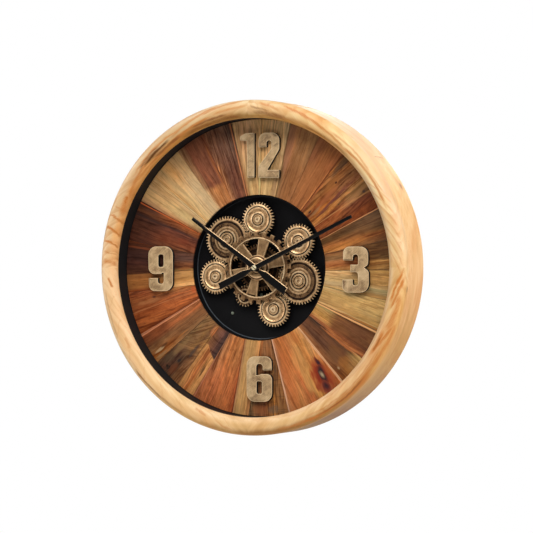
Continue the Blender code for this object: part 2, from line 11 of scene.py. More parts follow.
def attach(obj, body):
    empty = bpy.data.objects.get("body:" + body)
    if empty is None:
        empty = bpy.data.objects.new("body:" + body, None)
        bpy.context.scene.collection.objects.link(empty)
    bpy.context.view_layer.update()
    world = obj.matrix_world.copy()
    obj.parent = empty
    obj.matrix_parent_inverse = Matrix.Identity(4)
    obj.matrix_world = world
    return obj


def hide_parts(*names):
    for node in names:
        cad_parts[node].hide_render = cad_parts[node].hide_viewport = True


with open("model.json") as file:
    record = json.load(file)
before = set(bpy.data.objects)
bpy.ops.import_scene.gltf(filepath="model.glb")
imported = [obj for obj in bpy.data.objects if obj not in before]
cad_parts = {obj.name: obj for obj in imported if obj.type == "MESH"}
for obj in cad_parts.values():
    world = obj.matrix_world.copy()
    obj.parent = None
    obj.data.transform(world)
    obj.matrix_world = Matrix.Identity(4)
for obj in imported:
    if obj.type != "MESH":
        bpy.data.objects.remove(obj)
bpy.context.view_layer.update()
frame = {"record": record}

MM = 0.001

# ------------------------------------------------------------------ dimensions
# Millimetres, in the frame of the clock: y is depth, the dial faces -y, and
# angles "clockwise" are clock angles from 12 as the dial is seen.
RIM_R, RIM_FRONT, RIM_BACK = 270.0, -42.5, 42.5
RIM_LIP_R, RIM_LIP_Y, RIM_SIDE_Y, RIM_BORE_R = 240.7, -30.0, -29.0, 243.7
PLANK_IN, PLANK_OUT = 118.2, 240.5
MODULE = 1.6
TEETH_LARGE, TEETH_SMALL, TEETH_PINION = 46, 34, 20
HOUR_ANGLE, MINUTE_ANGLE = 305.3, 64.3

SEAMS = [
    (1.7, 1.8), (13.9, 15.1), (27.1, 27.6), (39.4, 39.6), (65.3, 67.5),
    (79.0, 79.5), (90.6, 92.3), (103.1, 104.4), (115.9, 117.9),
    (128.5, 130.7), (141.1, 144.0), (167.0, 168.8), (184.1, 177.2),
    (191.2, 191.7), (209.4, 205.9), (217.6, 217.2), (229.7, 229.0),
    (242.2, 244.3), (260.2, 256.1), (267.4, 268.4), (281.1, 280.8),
    (297.4, 298.1), (308.4, 308.5), (322.6, 323.4), (335.5, 336.4),
    (348.4, 350.6),
]


def polar(r, deg):
    a = math.radians(deg)
    return (r * math.sin(a), r * math.cos(a))


def towards(start, dist, deg):
    a = math.radians(deg)
    return (start[0] + dist * math.cos(a), start[1] + dist * math.sin(a))


# ------------------------------------------------------------------ materials
def lin(c):
    """Colour given as 0-255 display values, as a linear colour."""
    out = []
    for v in c:
        v = v / 255.0
        out.append(v / 12.92 if v <= 0.04045 else ((v + 0.055) / 1.055) ** 2.4)
    return (*out, 1.0)


class Mat:
    """A material and short calls that add nodes to it."""

    def __init__(self, name):
        self.mat = bpy.data.materials.new(name)
        self.mat.use_nodes = True
        self.tree = self.mat.node_tree
        self.bsdf = self.tree.nodes["Principled BSDF"]
        self.cache = {}

    def node(self, kind, **props):
        n = self.tree.nodes.new(kind)
        for k, v in props.items():
            setattr(n, k, v)
        return n

    def put(self, socket, value):
        if isinstance(value, bpy.types.NodeSocket):
            self.tree.links.new(value, socket)
        else:
            socket.default_value = value

    def attr(self, name, out="Vector"):
        key = (name, out)
        if key not in self.cache:
            n = self.node("ShaderNodeAttribute", attribute_name=name)
            self.cache[key] = n.outputs[out]
        return self.cache[key]

    def parts(self, vector):
        n = self.node("ShaderNodeSeparateXYZ")
        self.put(n.inputs[0], vector)
        return n.outputs[0], n.outputs[1], n.outputs[2]

    def vec(self, x, y, z):
        n = self.node("ShaderNodeCombineXYZ")
        for s, v in zip(n.inputs, (x, y, z)):
            self.put(s, v)
        return n.outputs[0]

    def m(self, op, a, b=0.0, c=0.0, clamp=False):
        n = self.node("ShaderNodeMath", operation=op, use_clamp=clamp)
        self.put(n.inputs[0], a)
        self.put(n.inputs[1], b)
        if op in ("MULTIPLY_ADD", "SMOOTH_MIN", "SMOOTH_MAX", "WRAP"):
            self.put(n.inputs[2], c)
        return n.outputs[0]

    def vm(self, op, a, b=None, scale=None):
        n = self.node("ShaderNodeVectorMath", operation=op)
        self.put(n.inputs[0], a)
        if b is not None:
            self.put(n.inputs[1], b)
        if scale is not None:
            self.put(n.inputs["Scale"], scale)
        return n.outputs["Value"] if op in ("LENGTH", "DOT_PRODUCT", "DISTANCE") else n.outputs[0]

    def mix(self, fac, a, b, mode="MIX"):
        n = self.node("ShaderNodeMix", data_type="RGBA", blend_type=mode)
        self.put(n.inputs["Factor"], fac)
        self.put(n.inputs[6], a)
        self.put(n.inputs[7], b)
        return n.outputs[2]

    def noise(self, vector, scale=1.0, detail=2.0, rough=0.5, distort=0.0):
        n = self.node("ShaderNodeTexNoise", noise_dimensions="3D")
        self.put(n.inputs["Vector"], vector)
        n.inputs["Scale"].default_value = scale
        n.inputs["Detail"].default_value = detail
        n.inputs["Roughness"].default_value = rough
        n.inputs["Distortion"].default_value = distort
        return n.outputs["Fac"]

    def ramp(self, fac, stops, interp="LINEAR"):
        n = self.node("ShaderNodeValToRGB")
        n.color_ramp.interpolation = interp
        els = n.color_ramp.elements
        while len(els) < len(stops):
            els.new(0.5)
        for e, (p, c) in zip(els, stops):
            e.position = p
            e.color = lin(c) if len(c) == 3 else c
        self.put(n.inputs[0], fac)
        return n.outputs[0]

    def smooth(self, x, lo, hi, a=0.0, b=1.0):
        n = self.node("ShaderNodeMapRange", interpolation_type="SMOOTHSTEP")
        self.put(n.inputs["Value"], x)
        n.inputs["From Min"].default_value = lo
        n.inputs["From Max"].default_value = hi
        n.inputs["To Min"].default_value = a
        n.inputs["To Max"].default_value = b
        return n.outputs[0]

    def bump(self, height, strength, distance):
        n = self.node("ShaderNodeBump")
        n.inputs["Strength"].default_value = strength
        n.inputs["Distance"].default_value = distance
        self.put(n.inputs["Height"], height)
        self.put(self.bsdf.inputs["Normal"], n.outputs[0])

    def finish(self, colour, rough, metal=0.0, **sockets):
        self.put(self.bsdf.inputs["Base Color"], colour)
        self.put(self.bsdf.inputs["Roughness"], rough)
        self.put(self.bsdf.inputs["Metallic"], metal)
        for k, v in sockets.items():
            self.bsdf.inputs[k.replace("_", " ")].default_value = v
        return self.mat


def object_coord(M, scale=1000.0):
    """Object coordinates, in millimetres."""
    n = M.node("ShaderNodeTexCoord")
    return M.vm("SCALE", n.outputs["Object"], scale=scale)


# ------------------------------------------------------------------ mesh tools
def finish_mesh(ob, mats, sharp):
    me = ob.data
    bm = bmesh.new()
    bm.from_mesh(me)
    bmesh.ops.recalc_face_normals(bm, faces=bm.faces)
    bm.to_mesh(me)
    bm.free()
    for m in mats:
        me.materials.append(m)
    me.shade_smooth()
    me.set_sharp_from_angle(angle=math.radians(sharp))
    return ob


def piece(name, verts, faces, mats, sharp=32.0, index=None, point=None, corner=None):
    """Mesh object from vertices in millimetres. index: material of each face.
    point and corner: named attributes, three numbers for each."""
    me = bpy.data.meshes.new(name)
    me.from_pydata([(x * MM, y * MM, z * MM) for x, y, z in verts], [], faces)
    if index is not None:
        me.polygons.foreach_set("material_index", np.asarray(index, np.int32))
    for domain, table in (("POINT", point), ("CORNER", corner)):
        for key, values in (table or {}).items():
            a = me.attributes.new(key, "FLOAT_VECTOR", domain)
            a.data.foreach_set("vector", np.asarray(values, np.float32).ravel())
    ob = bpy.data.objects.new(name, me)
    bpy.context.scene.collection.objects.link(ob)
    return finish_mesh(ob, mats, sharp)


def place(ob, body, slot, *nodes):
    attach(ob, body)
    if nodes:
        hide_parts(*nodes)
    return ob


def spun(name, prof, mats, n=64, centre=(0.0, 0.0), loop=False, angles=None,
         outline=None, sharp=32.0, index=None):
    """Turned piece about an axis along y. Rows of prof are (r, y, wear); a row
    with a fourth value follows the toothed outline, r being the distance from
    it. Attribute rw holds distance from the axis, wear and depth."""
    if angles is None:
        angles = [2 * math.pi * k / n for k in range(n)]
    n = len(angles)
    verts, rw, rings = [], [], []
    for row in prof:
        r, y, wear = row[:3]
        follow = len(row) > 3
        if r <= 1e-9 and not follow:
            rings.append([len(verts)])
            verts.append((centre[0], y, centre[1]))
            rw.append((0.0, wear, y))
            continue
        ring = []
        for k, a in enumerate(angles):
            rr = outline[k][0] + r if follow else r
            w = wear * outline[k][1] if follow else wear
            ring.append(len(verts))
            verts.append((centre[0] + rr * math.cos(a), y, centre[1] + rr * math.sin(a)))
            rw.append((rr, w, y))
        rings.append(ring)
    faces, idx = [], []
    pairs = list(zip(range(len(rings) - 1), range(1, len(rings))))
    if loop:
        pairs.append((len(rings) - 1, 0))
    for a, b in pairs:
        ra, rb = rings[a], rings[b]
        m = index[a] if index else 0
        if len(ra) == 1 and len(rb) == 1:
            continue
        for k in range(n):
            k2 = (k + 1) % n
            if len(ra) == 1:
                faces.append((ra[0], rb[k], rb[k2]))
            elif len(rb) == 1:
                faces.append((ra[k], ra[k2], rb[0]))
            else:
                faces.append((ra[k], ra[k2], rb[k2], rb[k]))
            idx.append(m)
    return piece(name, verts, faces, mats, sharp, idx, point={"rw": rw})


def inset(loop, d):
    """Outline moved inwards by d (towards the left of its direction)."""
    out = []
    n = len(loop)
    for i in range(n):
        p0, p, p1 = Vector(loop[i - 1]), Vector(loop[i]), Vector(loop[(i + 1) % n])
        a, b = (p - p0).normalized(), (p1 - p).normalized()
        na, nb = Vector((-a.y, a.x)), Vector((-b.y, b.x))
        k = 1.0 + na.dot(nb)
        v = (na + nb) / max(k, 0.35)
        q = p + v * d
        out.append((q.x, q.y))
    return out


def area(loop):
    return sum(a[0] * b[1] - b[0] * a[1] for a, b in zip(loop, loop[1:] + loop[:1])) / 2


def plate(name, loops, front, back, mats, bevel=0.6, band=1.6, steps=3, sharp=28.0,
          parts=(0, 0, 1), crown=0.0, chamfer=None):
    """Flat piece with worked edges: outlines (x, z), the outer one first.
    parts: material of the face, of the bevel and of the sides and back.
    Attribute ed holds 1 at the edge of the face and 0 further in."""
    loops = [l if (area(l) > 0) == (i == 0) else l[::-1] for i, l in enumerate(loops)]
    depth = bevel if chamfer is None else chamfer
    verts, faces, idx, ed = [], [], [], []
    levels = [(0.0, back, 0.3), (0.0, front + depth, 0.8)]
    for k in range(1, steps + 1):
        t = math.pi / 2 * k / steps
        if steps == 1:
            levels.append((bevel, front, 1.0))
        else:
            levels.append((bevel * (1 - math.cos(t)), front + depth * (1 - math.sin(t)), 1.0))
    if band:
        levels.append((bevel + band * 0.5, front - crown * 0.5, 0.6))
        levels.append((bevel + band, front - crown, 0.0))
    starts = []
    for li, loop in enumerate(loops):
        n = len(loop)
        rows = []
        for d, y, w in levels:
            shape = inset(loop, d) if d else loop
            rows.append(list(range(len(verts), len(verts) + n)))
            for x, z in shape:
                verts.append((x, y, z))
                ed.append((w, d, float(li)))
        for j, (ra, rb) in enumerate(zip(rows, rows[1:])):
            part = parts[2] if j == 0 else parts[1] if j <= steps else parts[0]
            for k in range(n):
                k2 = (k + 1) % n
                faces.append((ra[k], ra[k2], rb[k2], rb[k]))
                idx.append(part)
        starts.append((rows[0], rows[-1]))
    for which, part in ((0, parts[2]), (1, parts[0])):
        rings = [s[which] for s in starts]
        flat = [v for ring in rings for v in ring]
        polys = [[Vector((verts[v][0], verts[v][2], 0.0)) for v in ring] for ring in rings]
        for tri in tessellate_polygon(polys):
            faces.append(tuple(flat[i] for i in tri))
            idx.append(part)
    return piece(name, verts, faces, mats, sharp, idx, point={"ed": ed})


def rounded(corners, steps=6):
    """Outline through corners (x, z, radius), each corner rounded."""
    out = []
    n = len(corners)
    for i, (x, z, r) in enumerate(corners):
        p = Vector((x, z))
        a = Vector(corners[i - 1][:2]) - p
        b = Vector(corners[(i + 1) % n][:2]) - p
        half = a.angle(b) / 2
        r = max(r, 0.5)
        cut = min(r / math.tan(half), 0.48 * a.length, 0.48 * b.length)
        rr = cut * math.tan(half)
        start, end = p + a.normalized() * cut, p + b.normalized() * cut
        mid = p + (a.normalized() + b.normalized()).normalized() * (rr / math.sin(half))
        v0, v1 = start - mid, end - mid
        sweep = v0.angle(v1)
        sign = 1.0 if v0.x * v1.y - v0.y * v1.x > 0 else -1.0
        k = steps if r > 2 else 2
        for j in range(k + 1):
            t = sign * sweep * j / k
            out.append((mid.x + v0.x * math.cos(t) - v0.y * math.sin(t),
                        mid.y + v0.x * math.sin(t) + v0.y * math.cos(t)))
    return out


def circle(r, n, centre=(0.0, 0.0)):
    return [(centre[0] + r * math.cos(2 * math.pi * k / n),
             centre[1] + r * math.sin(2 * math.pi * k / n)) for k in range(n)]


def solid_box(name, x, y, z, bevel=0.0, segments=3):
    """Block with rounded edges, as a plain mesh object."""
    me = bpy.data.meshes.new(name)
    bm = bmesh.new()
    bmesh.ops.create_cube(bm, size=1.0)
    for v in bm.verts:
        for i, (lo, hi) in enumerate((x, y, z)):
            v.co[i] = (lo if v.co[i] < 0 else hi) * MM
    if bevel:
        bmesh.ops.bevel(bm, geom=list(bm.edges), offset=bevel * MM, segments=segments,
                        profile=0.5, affect="EDGES", clamp_overlap=True)
    bm.to_mesh(me)
    bm.free()
    ob = bpy.data.objects.new(name, me)
    bpy.context.scene.collection.objects.link(ob)
    return ob


def carve(ob, *others, operation="DIFFERENCE"):
    """Boolean with other pieces, applied to the mesh; the others are removed."""
    for other in others:
        mod = ob.modifiers.new("carve", "BOOLEAN")
        mod.operation = operation
        mod.solver = "EXACT"
        mod.object = other
        bpy.context.view_layer.update()
        graph = bpy.context.evaluated_depsgraph_get()
        me = bpy.data.meshes.new_from_object(ob.evaluated_get(graph))
        ob.modifiers.clear()
        old = ob.data
        ob.data = me
        me.name = ob.name
        bpy.data.meshes.remove(old)
        bpy.data.objects.remove(other, do_unlink=True)
    return ob


def remat(ob, mats, sharp=32.0):
    ob.data.materials.clear()
    for m in mats:
        ob.data.materials.append(m)
    ob.data.polygons.foreach_set("material_index", np.zeros(len(ob.data.polygons), np.int32))
    ob.data.shade_smooth()
    ob.data.set_sharp_from_angle(angle=math.radians(sharp))
    return ob


# ------------------------------------------------------------------ plank wood
# One entry for each plank, from its seam clockwise: colours across its outer
# part and across its inner part, as (share of the width, colour), the span
# along the plank where one turns into the other and how far that is skewed,
# strength of the coarse and the fine grain, then patches, lines and knots.
# patch: share, place along, half widths of both, colour, strength
# line: share at the outer end, at the inner end, half width, colour, strength
# knot: share, place along, half width and half length in mm, colours from
# the core outwards
PLANKS = [
    dict(outer=[(0, (234, 181, 116)), (0.3, (234, 185, 129)), (0.75, (225, 179, 123)), (1, (231, 193, 142))],
         inner=[(0, (214, 169, 109)), (0.3, (223, 184, 125)), (0.6, (185, 148, 97)), (0.85, (170, 131, 91)), (1, (237, 191, 129))],
         blend=(0.35, 0.85, 0),
         grain=(0.16, 0.14),
         lines=[(0.985, 0.985, 0.02, (111, 74, 44), 0.7), (0.5, 0.45, 0.02, (167, 124, 79), 0.5)]),
    dict(outer=[(0, (130, 88, 51)), (0.25, (175, 117, 73)), (0.5, (178, 126, 79)), (1, (157, 110, 69))],
         inner=[(0, (134, 104, 68)), (0.2, (146, 99, 62)), (0.6, (149, 96, 55)), (1, (157, 103, 62))],
         blend=(0.3, 0.7, 0),
         grain=(0.15, 0.12),
         patches=[(0.12, 0.3, 0.16, 0.4, (181, 120, 89), 0.45)]),
    dict(outer=[(0, (159, 99, 63)), (0.5, (163, 100, 55)), (1, (180, 107, 61))],
         inner=[(0, (154, 98, 57)), (0.5, (165, 103, 59)), (0.85, (150, 91, 49)), (1, (209, 131, 74))],
         blend=(0.34, 0.44, 0.02),
         grain=(0.13, 0.12),
         lines=[(0.99, 0.99, 0.02, (101, 57, 29), 0.6)]),
    dict(outer=[(0, (165, 101, 49)), (0.1, (152, 101, 60)), (0.2, (180, 114, 63)), (0.3, (157, 106, 63)), (0.4, (152, 92, 58)), (0.5, (185, 130, 75)), (0.58, (161, 104, 61)), (0.68, (156, 107, 71)), (0.74, (123, 66, 40)), (0.88, (130, 67, 32)), (1, (128, 64, 27))],
         inner=[(0, (147, 81, 47)), (0.13, (156, 102, 52)), (0.25, (132, 65, 30)), (0.4, (166, 100, 44)), (0.52, (171, 112, 58)), (0.62, (135, 64, 31)), (0.75, (158, 90, 46)), (0.9, (124, 65, 31)), (1, (121, 63, 31))],
         blend=(0.35, 0.7, 0),
         grain=(0.3, 0.18),
         warp=0.05,
         patches=[(0.2, 0.42, 0.075, 0.2, (158, 98, 47), 0.7), (0.28, 0.6, 0.05, 0.22, (172, 101, 57), 0.6), (0.3, 0.86, 0.04, 0.12, (175, 129, 83), 0.5), (0.42, 0.55, 0.035, 0.35, (97, 48, 47), 0.75), (0.6, 0.2, 0.1, 0.25, (172, 127, 76), 0.5), (0.57, 0.35, 0.025, 0.3, (93, 59, 27), 0.55), (0.67, 0.14, 0.02, 0.18, (82, 53, 31), 0.6), (0.08, 0.12, 0.05, 0.25, (89, 68, 47), 0.6)],
         lines=[(0.72, 0.6, 0.014, (191, 131, 76), 0.7), (0.005, 0.005, 0.014, (109, 53, 31), 0.5)],
         knots=[(0.22, 0.35, 1.6, 2.6, [(40, 22, 14), (92, 52, 28)]), (0.22, 0.88, 2.2, 4, [(46, 26, 16), (110, 70, 42)]), (0.66, 0.12, 2.4, 3.6, [(60, 52, 52), (110, 74, 48)]), (0.56, 0.5, 1.4, 1.8, [(70, 44, 22), (120, 80, 44)])]),
    dict(outer=[(0, (84, 63, 46)), (0.3, (125, 89, 60)), (0.5, (103, 73, 44)), (0.64, (119, 78, 41)), (0.7, (144, 83, 42)), (1, (100, 67, 42))],
         inner=[(0, (118, 78, 43)), (0.32, (103, 71, 39)), (0.42, (152, 98, 53)), (0.6, (167, 102, 54)), (0.8, (200, 129, 62)), (1, (175, 121, 72))],
         blend=(0.1, 0.9, 0),
         grain=(0.2, 0.14),
         warp=0.03,
         lines=[(0.02, 0.02, 0.022, (224, 150, 95), 0.8)]),
    dict(outer=[(0, (111, 76, 43)), (0.3, (108, 70, 37)), (0.55, (112, 79, 44)), (0.68, (207, 150, 83)), (1, (153, 112, 63))],
         inner=[(0, (113, 67, 37)), (0.3, (150, 110, 69)), (0.4, (159, 115, 74)), (0.5, (178, 114, 67)), (0.75, (169, 98, 51)), (1, (188, 135, 76))],
         blend=(0.25, 0.6, 0),
         grain=(0.22, 0.16),
         warp=0.04,
         patches=[(0.6, 0.08, 0.06, 0.16, (74, 49, 27), 0.6), (0.86, 0.25, 0.06, 0.3, (112, 70, 34), 0.4)],
         lines=[(0.3, 0.4, 0.02, (95, 62, 36), 0.5)]),
    dict(outer=[(0, (184, 140, 79)), (0.25, (206, 156, 91)), (0.5, (199, 151, 88)), (0.68, (213, 176, 118)), (0.82, (176, 151, 103)), (0.9, (165, 123, 71)), (1, (168, 127, 74))],
         inner=[(0, (245, 204, 143)), (0.25, (201, 158, 104)), (0.5, (210, 173, 114)), (0.75, (189, 159, 116)), (1, (208, 164, 100))],
         blend=(0.3, 0.75, 0),
         grain=(0.16, 0.14),
         warp=0.03,
         patches=[(0.72, 0.3, 0.06, 0.5, (161, 145, 99), 0.7), (0.14, 0.72, 0.05, 0.3, (192, 131, 74), 0.5)],
         lines=[(0.01, 0.01, 0.02, (115, 72, 39), 0.6)]),
    dict(outer=[(0, (196, 158, 98)), (0.3, (228, 185, 115)), (0.6, (185, 150, 94)), (0.78, (182, 140, 81)), (1, (146, 112, 62))],
         inner=[(0, (197, 171, 118)), (0.3, (199, 157, 94)), (0.6, (198, 156, 97)), (0.85, (177, 134, 81)), (1, (228, 193, 134))],
         blend=(0.3, 0.7, 0),
         grain=(0.17, 0.14),
         warp=0.03,
         patches=[(0.1, 0.85, 0.05, 0.2, (206, 148, 88), 0.5), (0.6, 0.8, 0.2, 0.15, (182, 140, 82), 0.35)],
         lines=[(0.95, 0.98, 0.03, (177, 102, 46), 0.65), (0.9, 0.92, 0.02, (213, 169, 108), 0.5)]),
    dict(outer=[(0, (36, 15, 6)), (0.2, (129, 84, 49)), (0.45, (118, 75, 44)), (0.7, (102, 60, 35)), (0.85, (138, 80, 46)), (0.92, (186, 114, 63)), (1, (174, 107, 63))],
         inner=[(0, (143, 143, 95)), (0.25, (187, 143, 84)), (0.5, (182, 134, 70)), (0.78, (195, 139, 79)), (0.86, (167, 99, 59)), (1, (140, 89, 60))],
         blend=(0.64, 0.84, 0.03),
         grain=(0.2, 0.16),
         warp=0.03,
         patches=[(0.3, 0.35, 0.18, 0.25, (98, 57, 38), 0.4), (0.6, 0.55, 0.2, 0.15, (142, 89, 47), 0.35)],
         lines=[(0.03, 0.05, 0.045, (245, 180, 115), 0.85), (0, 0, 0.016, (98, 55, 30), 0.7)]),
    dict(outer=[(0, (207, 168, 101)), (0.3, (178, 129, 74)), (0.6, (159, 102, 47)), (1, (131, 67, 21))],
         inner=[(0, (63, 46, 33)), (0.3, (111, 69, 44)), (0.6, (108, 71, 50)), (0.9, (145, 92, 54)), (1, (173, 104, 62))],
         blend=(0.1, 0.34, 0.02),
         grain=(0.18, 0.14),
         warp=0.03,
         patches=[(0.04, 0.45, 0.06, 0.3, (203, 118, 62), 0.7), (0.5, 0.24, 0.2, 0.08, (164, 101, 40), 0.5), (0.5, 0.4, 0.3, 0.12, (126, 82, 40), 0.4)],
         lines=[(0.99, 0.965, 0.03, (234, 183, 133), 0.85)],
         knots=[(0.78, 0.22, 1.8, 3.4, [(178, 148, 108), (146, 100, 62)])]),
    dict(outer=[(0, (196, 109, 52)), (0.1, (154, 81, 39)), (0.3, (179, 99, 47)), (0.38, (213, 148, 76)), (0.48, (185, 110, 61)), (0.6, (200, 115, 64)), (0.72, (211, 141, 80)), (0.85, (195, 117, 64)), (1, (185, 127, 83))],
         inner=[(0, (209, 148, 92)), (0.15, (202, 142, 80)), (0.28, (200, 129, 66)), (0.4, (198, 142, 82)), (0.55, (200, 125, 71)), (0.65, (188, 110, 58)), (0.78, (183, 109, 56)), (0.9, (174, 107, 60)), (1, (185, 130, 98))],
         blend=(0.3, 0.7, 0),
         grain=(0.17, 0.12),
         warp=0.06,
         patches=[(0.45, 0.3, 0.12, 0.2, (222, 165, 93), 0.5), (0.82, 0.5, 0.14, 0.4, (202, 106, 57), 0.35), (0.3, 0.92, 0.2, 0.1, (181, 98, 49), 0.45), (0.5, 0.6, 0.1, 0.2, (218, 156, 87), 0.4)],
         lines=[(0.985, 0.985, 0.02, (233, 180, 144), 0.75), (0, 0.005, 0.012, (233, 178, 132), 0.8)],
         knots=[(0.22, 0.24, 15, 30, [(126, 42, 24), (146, 54, 28), (172, 86, 44)]), (0.25, 0.07, 7, 12, [(112, 44, 36), (134, 58, 40), (162, 84, 52)]), (0.135, 0.40, 3.8, 11, [(46, 32, 42), (84, 40, 34), (134, 60, 36)]), (0.17, 0.31, 5.0, 11, [(44, 30, 34), (70, 36, 34), (122, 50, 30)]), (0.21, 0.20, 5.6, 13, [(44, 30, 34), (70, 36, 34), (122, 50, 30)]), (0.245, 0.10, 5.0, 11, [(52, 32, 36), (84, 40, 38), (130, 56, 38)]), (0.20, 0.25, 3.4, 10, [(176, 156, 122), (124, 98, 76), (56, 40, 38)])]),
    dict(outer=[(0, (170, 112, 63)), (0.15, (148, 102, 62)), (0.35, (182, 120, 59)), (0.6, (157, 97, 60)), (1, (132, 104, 69))],
         inner=[(0, (112, 67, 28)), (0.2, (146, 99, 63)), (0.45, (149, 101, 65)), (0.7, (141, 95, 59)), (1, (182, 108, 56))],
         blend=(0.3, 0.8, 0),
         grain=(0.22, 0.2),
         warp=0.05,
         cross=0.55,
         patches=[(0.35, 0.08, 0.15, 0.06, (109, 91, 73), 0.6), (0.3, 0.5, 0.18, 0.06, (111, 78, 49), 0.55), (0.12, 0.6, 0.06, 0.06, (80, 58, 40), 0.6), (0.75, 0.1, 0.16, 0.08, (168, 96, 54), 0.5), (0.4, 0.85, 0.2, 0.1, (170, 106, 56), 0.4)]),
    dict(outer=[(0, (194, 130, 79)), (0.4, (213, 162, 100)), (0.8, (192, 147, 91)), (1, (185, 128, 87))],
         inner=[(0, (207, 141, 84)), (0.4, (199, 152, 93)), (0.8, (187, 144, 90)), (1, (165, 111, 74))],
         blend=(0.3, 0.8, 0),
         grain=(0.15, 0.13),
         lines=[(0, 0, 0.03, (134, 93, 57), 0.5), (0.55, 0.5, 0.03, (166, 120, 75), 0.4)]),
    dict(outer=[(0, (155, 73, 38)), (0.15, (194, 111, 62)), (0.4, (184, 108, 62)), (0.6, (192, 110, 66)), (0.85, (176, 104, 63)), (1, (168, 93, 59))],
         inner=[(0, (187, 114, 65)), (0.2, (187, 121, 69)), (0.5, (175, 106, 58)), (0.8, (194, 128, 80)), (1, (73, 54, 45))],
         blend=(0.3, 0.8, 0),
         grain=(0.24, 0.2),
         warp=0.02,
         lines=[(0, 0, 0.02, (116, 58, 32), 0.7), (0.97, 0.99, 0.02, (202, 133, 96), 0.5)]),
    dict(outer=[(0, (204, 142, 86)), (0.25, (212, 152, 90)), (0.42, (199, 128, 73)), (0.5, (154, 83, 41)), (0.62, (208, 133, 76)), (0.85, (194, 139, 83)), (1, (146, 101, 62))],
         inner=[(0, (66, 51, 48)), (0.3, (86, 54, 45)), (0.6, (116, 75, 52)), (0.85, (124, 80, 52)), (1, (130, 90, 50))],
         blend=(0.575, 0.6, -0.13),
         grain=(0.2, 0.14),
         warp=0.04,
         patches=[(0.22, 0.36, 0.05, 0.1, (64, 41, 25), 0.7), (0.3, 0.42, 0.04, 0.1, (70, 47, 29), 0.6), (0.5, 0.93, 0.3, 0.05, (148, 97, 80), 0.4), (0.97, 0.9, 0.08, 0.1, (207, 118, 68), 0.7)],
         lines=[(0.6, 0.3, 0.02, (159, 106, 87), 0.3)],
         swirl=(0.35, 1.15, 0.35)),
    dict(outer=[(0, (156, 109, 71)), (0.2, (112, 74, 47)), (0.4, (98, 72, 53)), (0.55, (88, 63, 47)), (0.75, (92, 59, 46)), (1, (86, 61, 40))],
         inner=[(0, (153, 111, 65)), (0.2, (115, 79, 52)), (0.4, (138, 99, 58)), (0.65, (141, 103, 67)), (0.85, (133, 99, 62)), (1, (133, 100, 66))],
         blend=(0.3, 0.62, 0),
         grain=(0.3, 0.22),
         warp=0.1,
         diagonal=0.5,
         patches=[(0.45, 0.12, 0.14, 0.1, (123, 64, 36), 0.6), (0.62, 0.08, 0.06, 0.04, (32, 28, 31), 0.8), (0.5, 0.26, 0.07, 0.03, (36, 35, 40), 0.8), (0.25, 0.5, 0.08, 0.12, (71, 62, 56), 0.6), (0.8, 0.2, 0.12, 0.12, (97, 79, 56), 0.5), (0.8, 0.42, 0.1, 0.16, (159, 122, 76), 0.45), (0.1, 0.9, 0.12, 0.08, (187, 113, 67), 0.6)],
         knots=[(0.66, 0.07, 2.6, 3.2, [(26, 22, 24), (70, 48, 32)]), (0.46, 0.26, 2.2, 2, [(30, 28, 32), (64, 48, 36)])]),
    dict(outer=[(0, (169, 115, 67)), (0.2, (142, 77, 28)), (0.4, (147, 101, 63)), (0.55, (115, 75, 46)), (0.66, (126, 71, 42)), (0.8, (124, 67, 38)), (1, (134, 73, 39))],
         inner=[(0, (137, 98, 62)), (0.3, (132, 87, 53)), (0.5, (129, 85, 52)), (0.64, (162, 102, 61)), (0.7, (176, 101, 58)), (0.9, (165, 99, 59)), (1, (191, 133, 83))],
         blend=(0.3, 0.6, 0),
         grain=(0.2, 0.16),
         warp=0.04,
         patches=[(0.27, 0.14, 0.05, 0.09, (202, 170, 124), 0.75), (0.3, 0.23, 0.04, 0.07, (72, 41, 20), 0.7), (0.16, 0.55, 0.03, 0.12, (192, 117, 55), 0.5), (0.1, 0.12, 0.06, 0.1, (154, 128, 88), 0.5)],
         lines=[(0.99, 0.985, 0.03, (226, 145, 102), 0.85), (0.93, 0.95, 0.014, (114, 52, 24), 0.5)]),
    dict(outer=[(0, (126, 55, 15)), (0.2, (169, 93, 47)), (0.45, (150, 75, 35)), (0.7, (142, 80, 44)), (0.8, (151, 85, 46)), (0.92, (163, 88, 49)), (1, (191, 111, 66))],
         inner=[(0, (94, 40, 8)), (0.25, (183, 99, 51)), (0.5, (166, 92, 51)), (0.75, (165, 94, 55)), (1, (203, 136, 79))],
         blend=(0.3, 0.75, 0),
         grain=(0.24, 0.2),
         warp=0.03,
         patches=[(0.7, 0.3, 0.06, 0.2, (188, 122, 75), 0.45), (0.96, 0.15, 0.05, 0.14, (97, 45, 23), 0.6), (0.75, 0.97, 0.25, 0.04, (201, 83, 38), 0.5)],
         lines=[(0.01, 0.01, 0.02, (226, 154, 112), 0.6), (0.52, 0.6, 0.016, (197, 126, 79), 0.45)],
         knots=[(0.79, 0.35, 1.5, 3.6, [(82, 44, 34), (120, 70, 44)])]),
    dict(outer=[(0, (135, 61, 27)), (0.2, (148, 92, 47)), (0.5, (176, 113, 58)), (0.8, (153, 95, 49)), (1, (153, 100, 54))],
         inner=[(0, (249, 187, 119)), (0.4, (200, 141, 79)), (0.8, (186, 136, 81)), (1, (213, 152, 91))],
         blend=(0.3, 0.85, 0),
         grain=(0.14, 0.12),
         lines=[(0.985, 0.985, 0.03, (95, 51, 27), 0.6)]),
    dict(outer=[(0, (91, 53, 34)), (0.3, (71, 39, 31)), (0.5, (76, 46, 39)), (0.8, (60, 33, 25)), (0.9, (82, 43, 26)), (1, (96, 47, 24))],
         inner=[(0, (171, 131, 74)), (0.15, (83, 41, 21)), (0.35, (128, 76, 46)), (0.6, (93, 63, 52)), (0.85, (96, 62, 50)), (1, (96, 62, 46))],
         blend=(0.55, 0.85, 0),
         grain=(0.24, 0.16),
         warp=0.04,
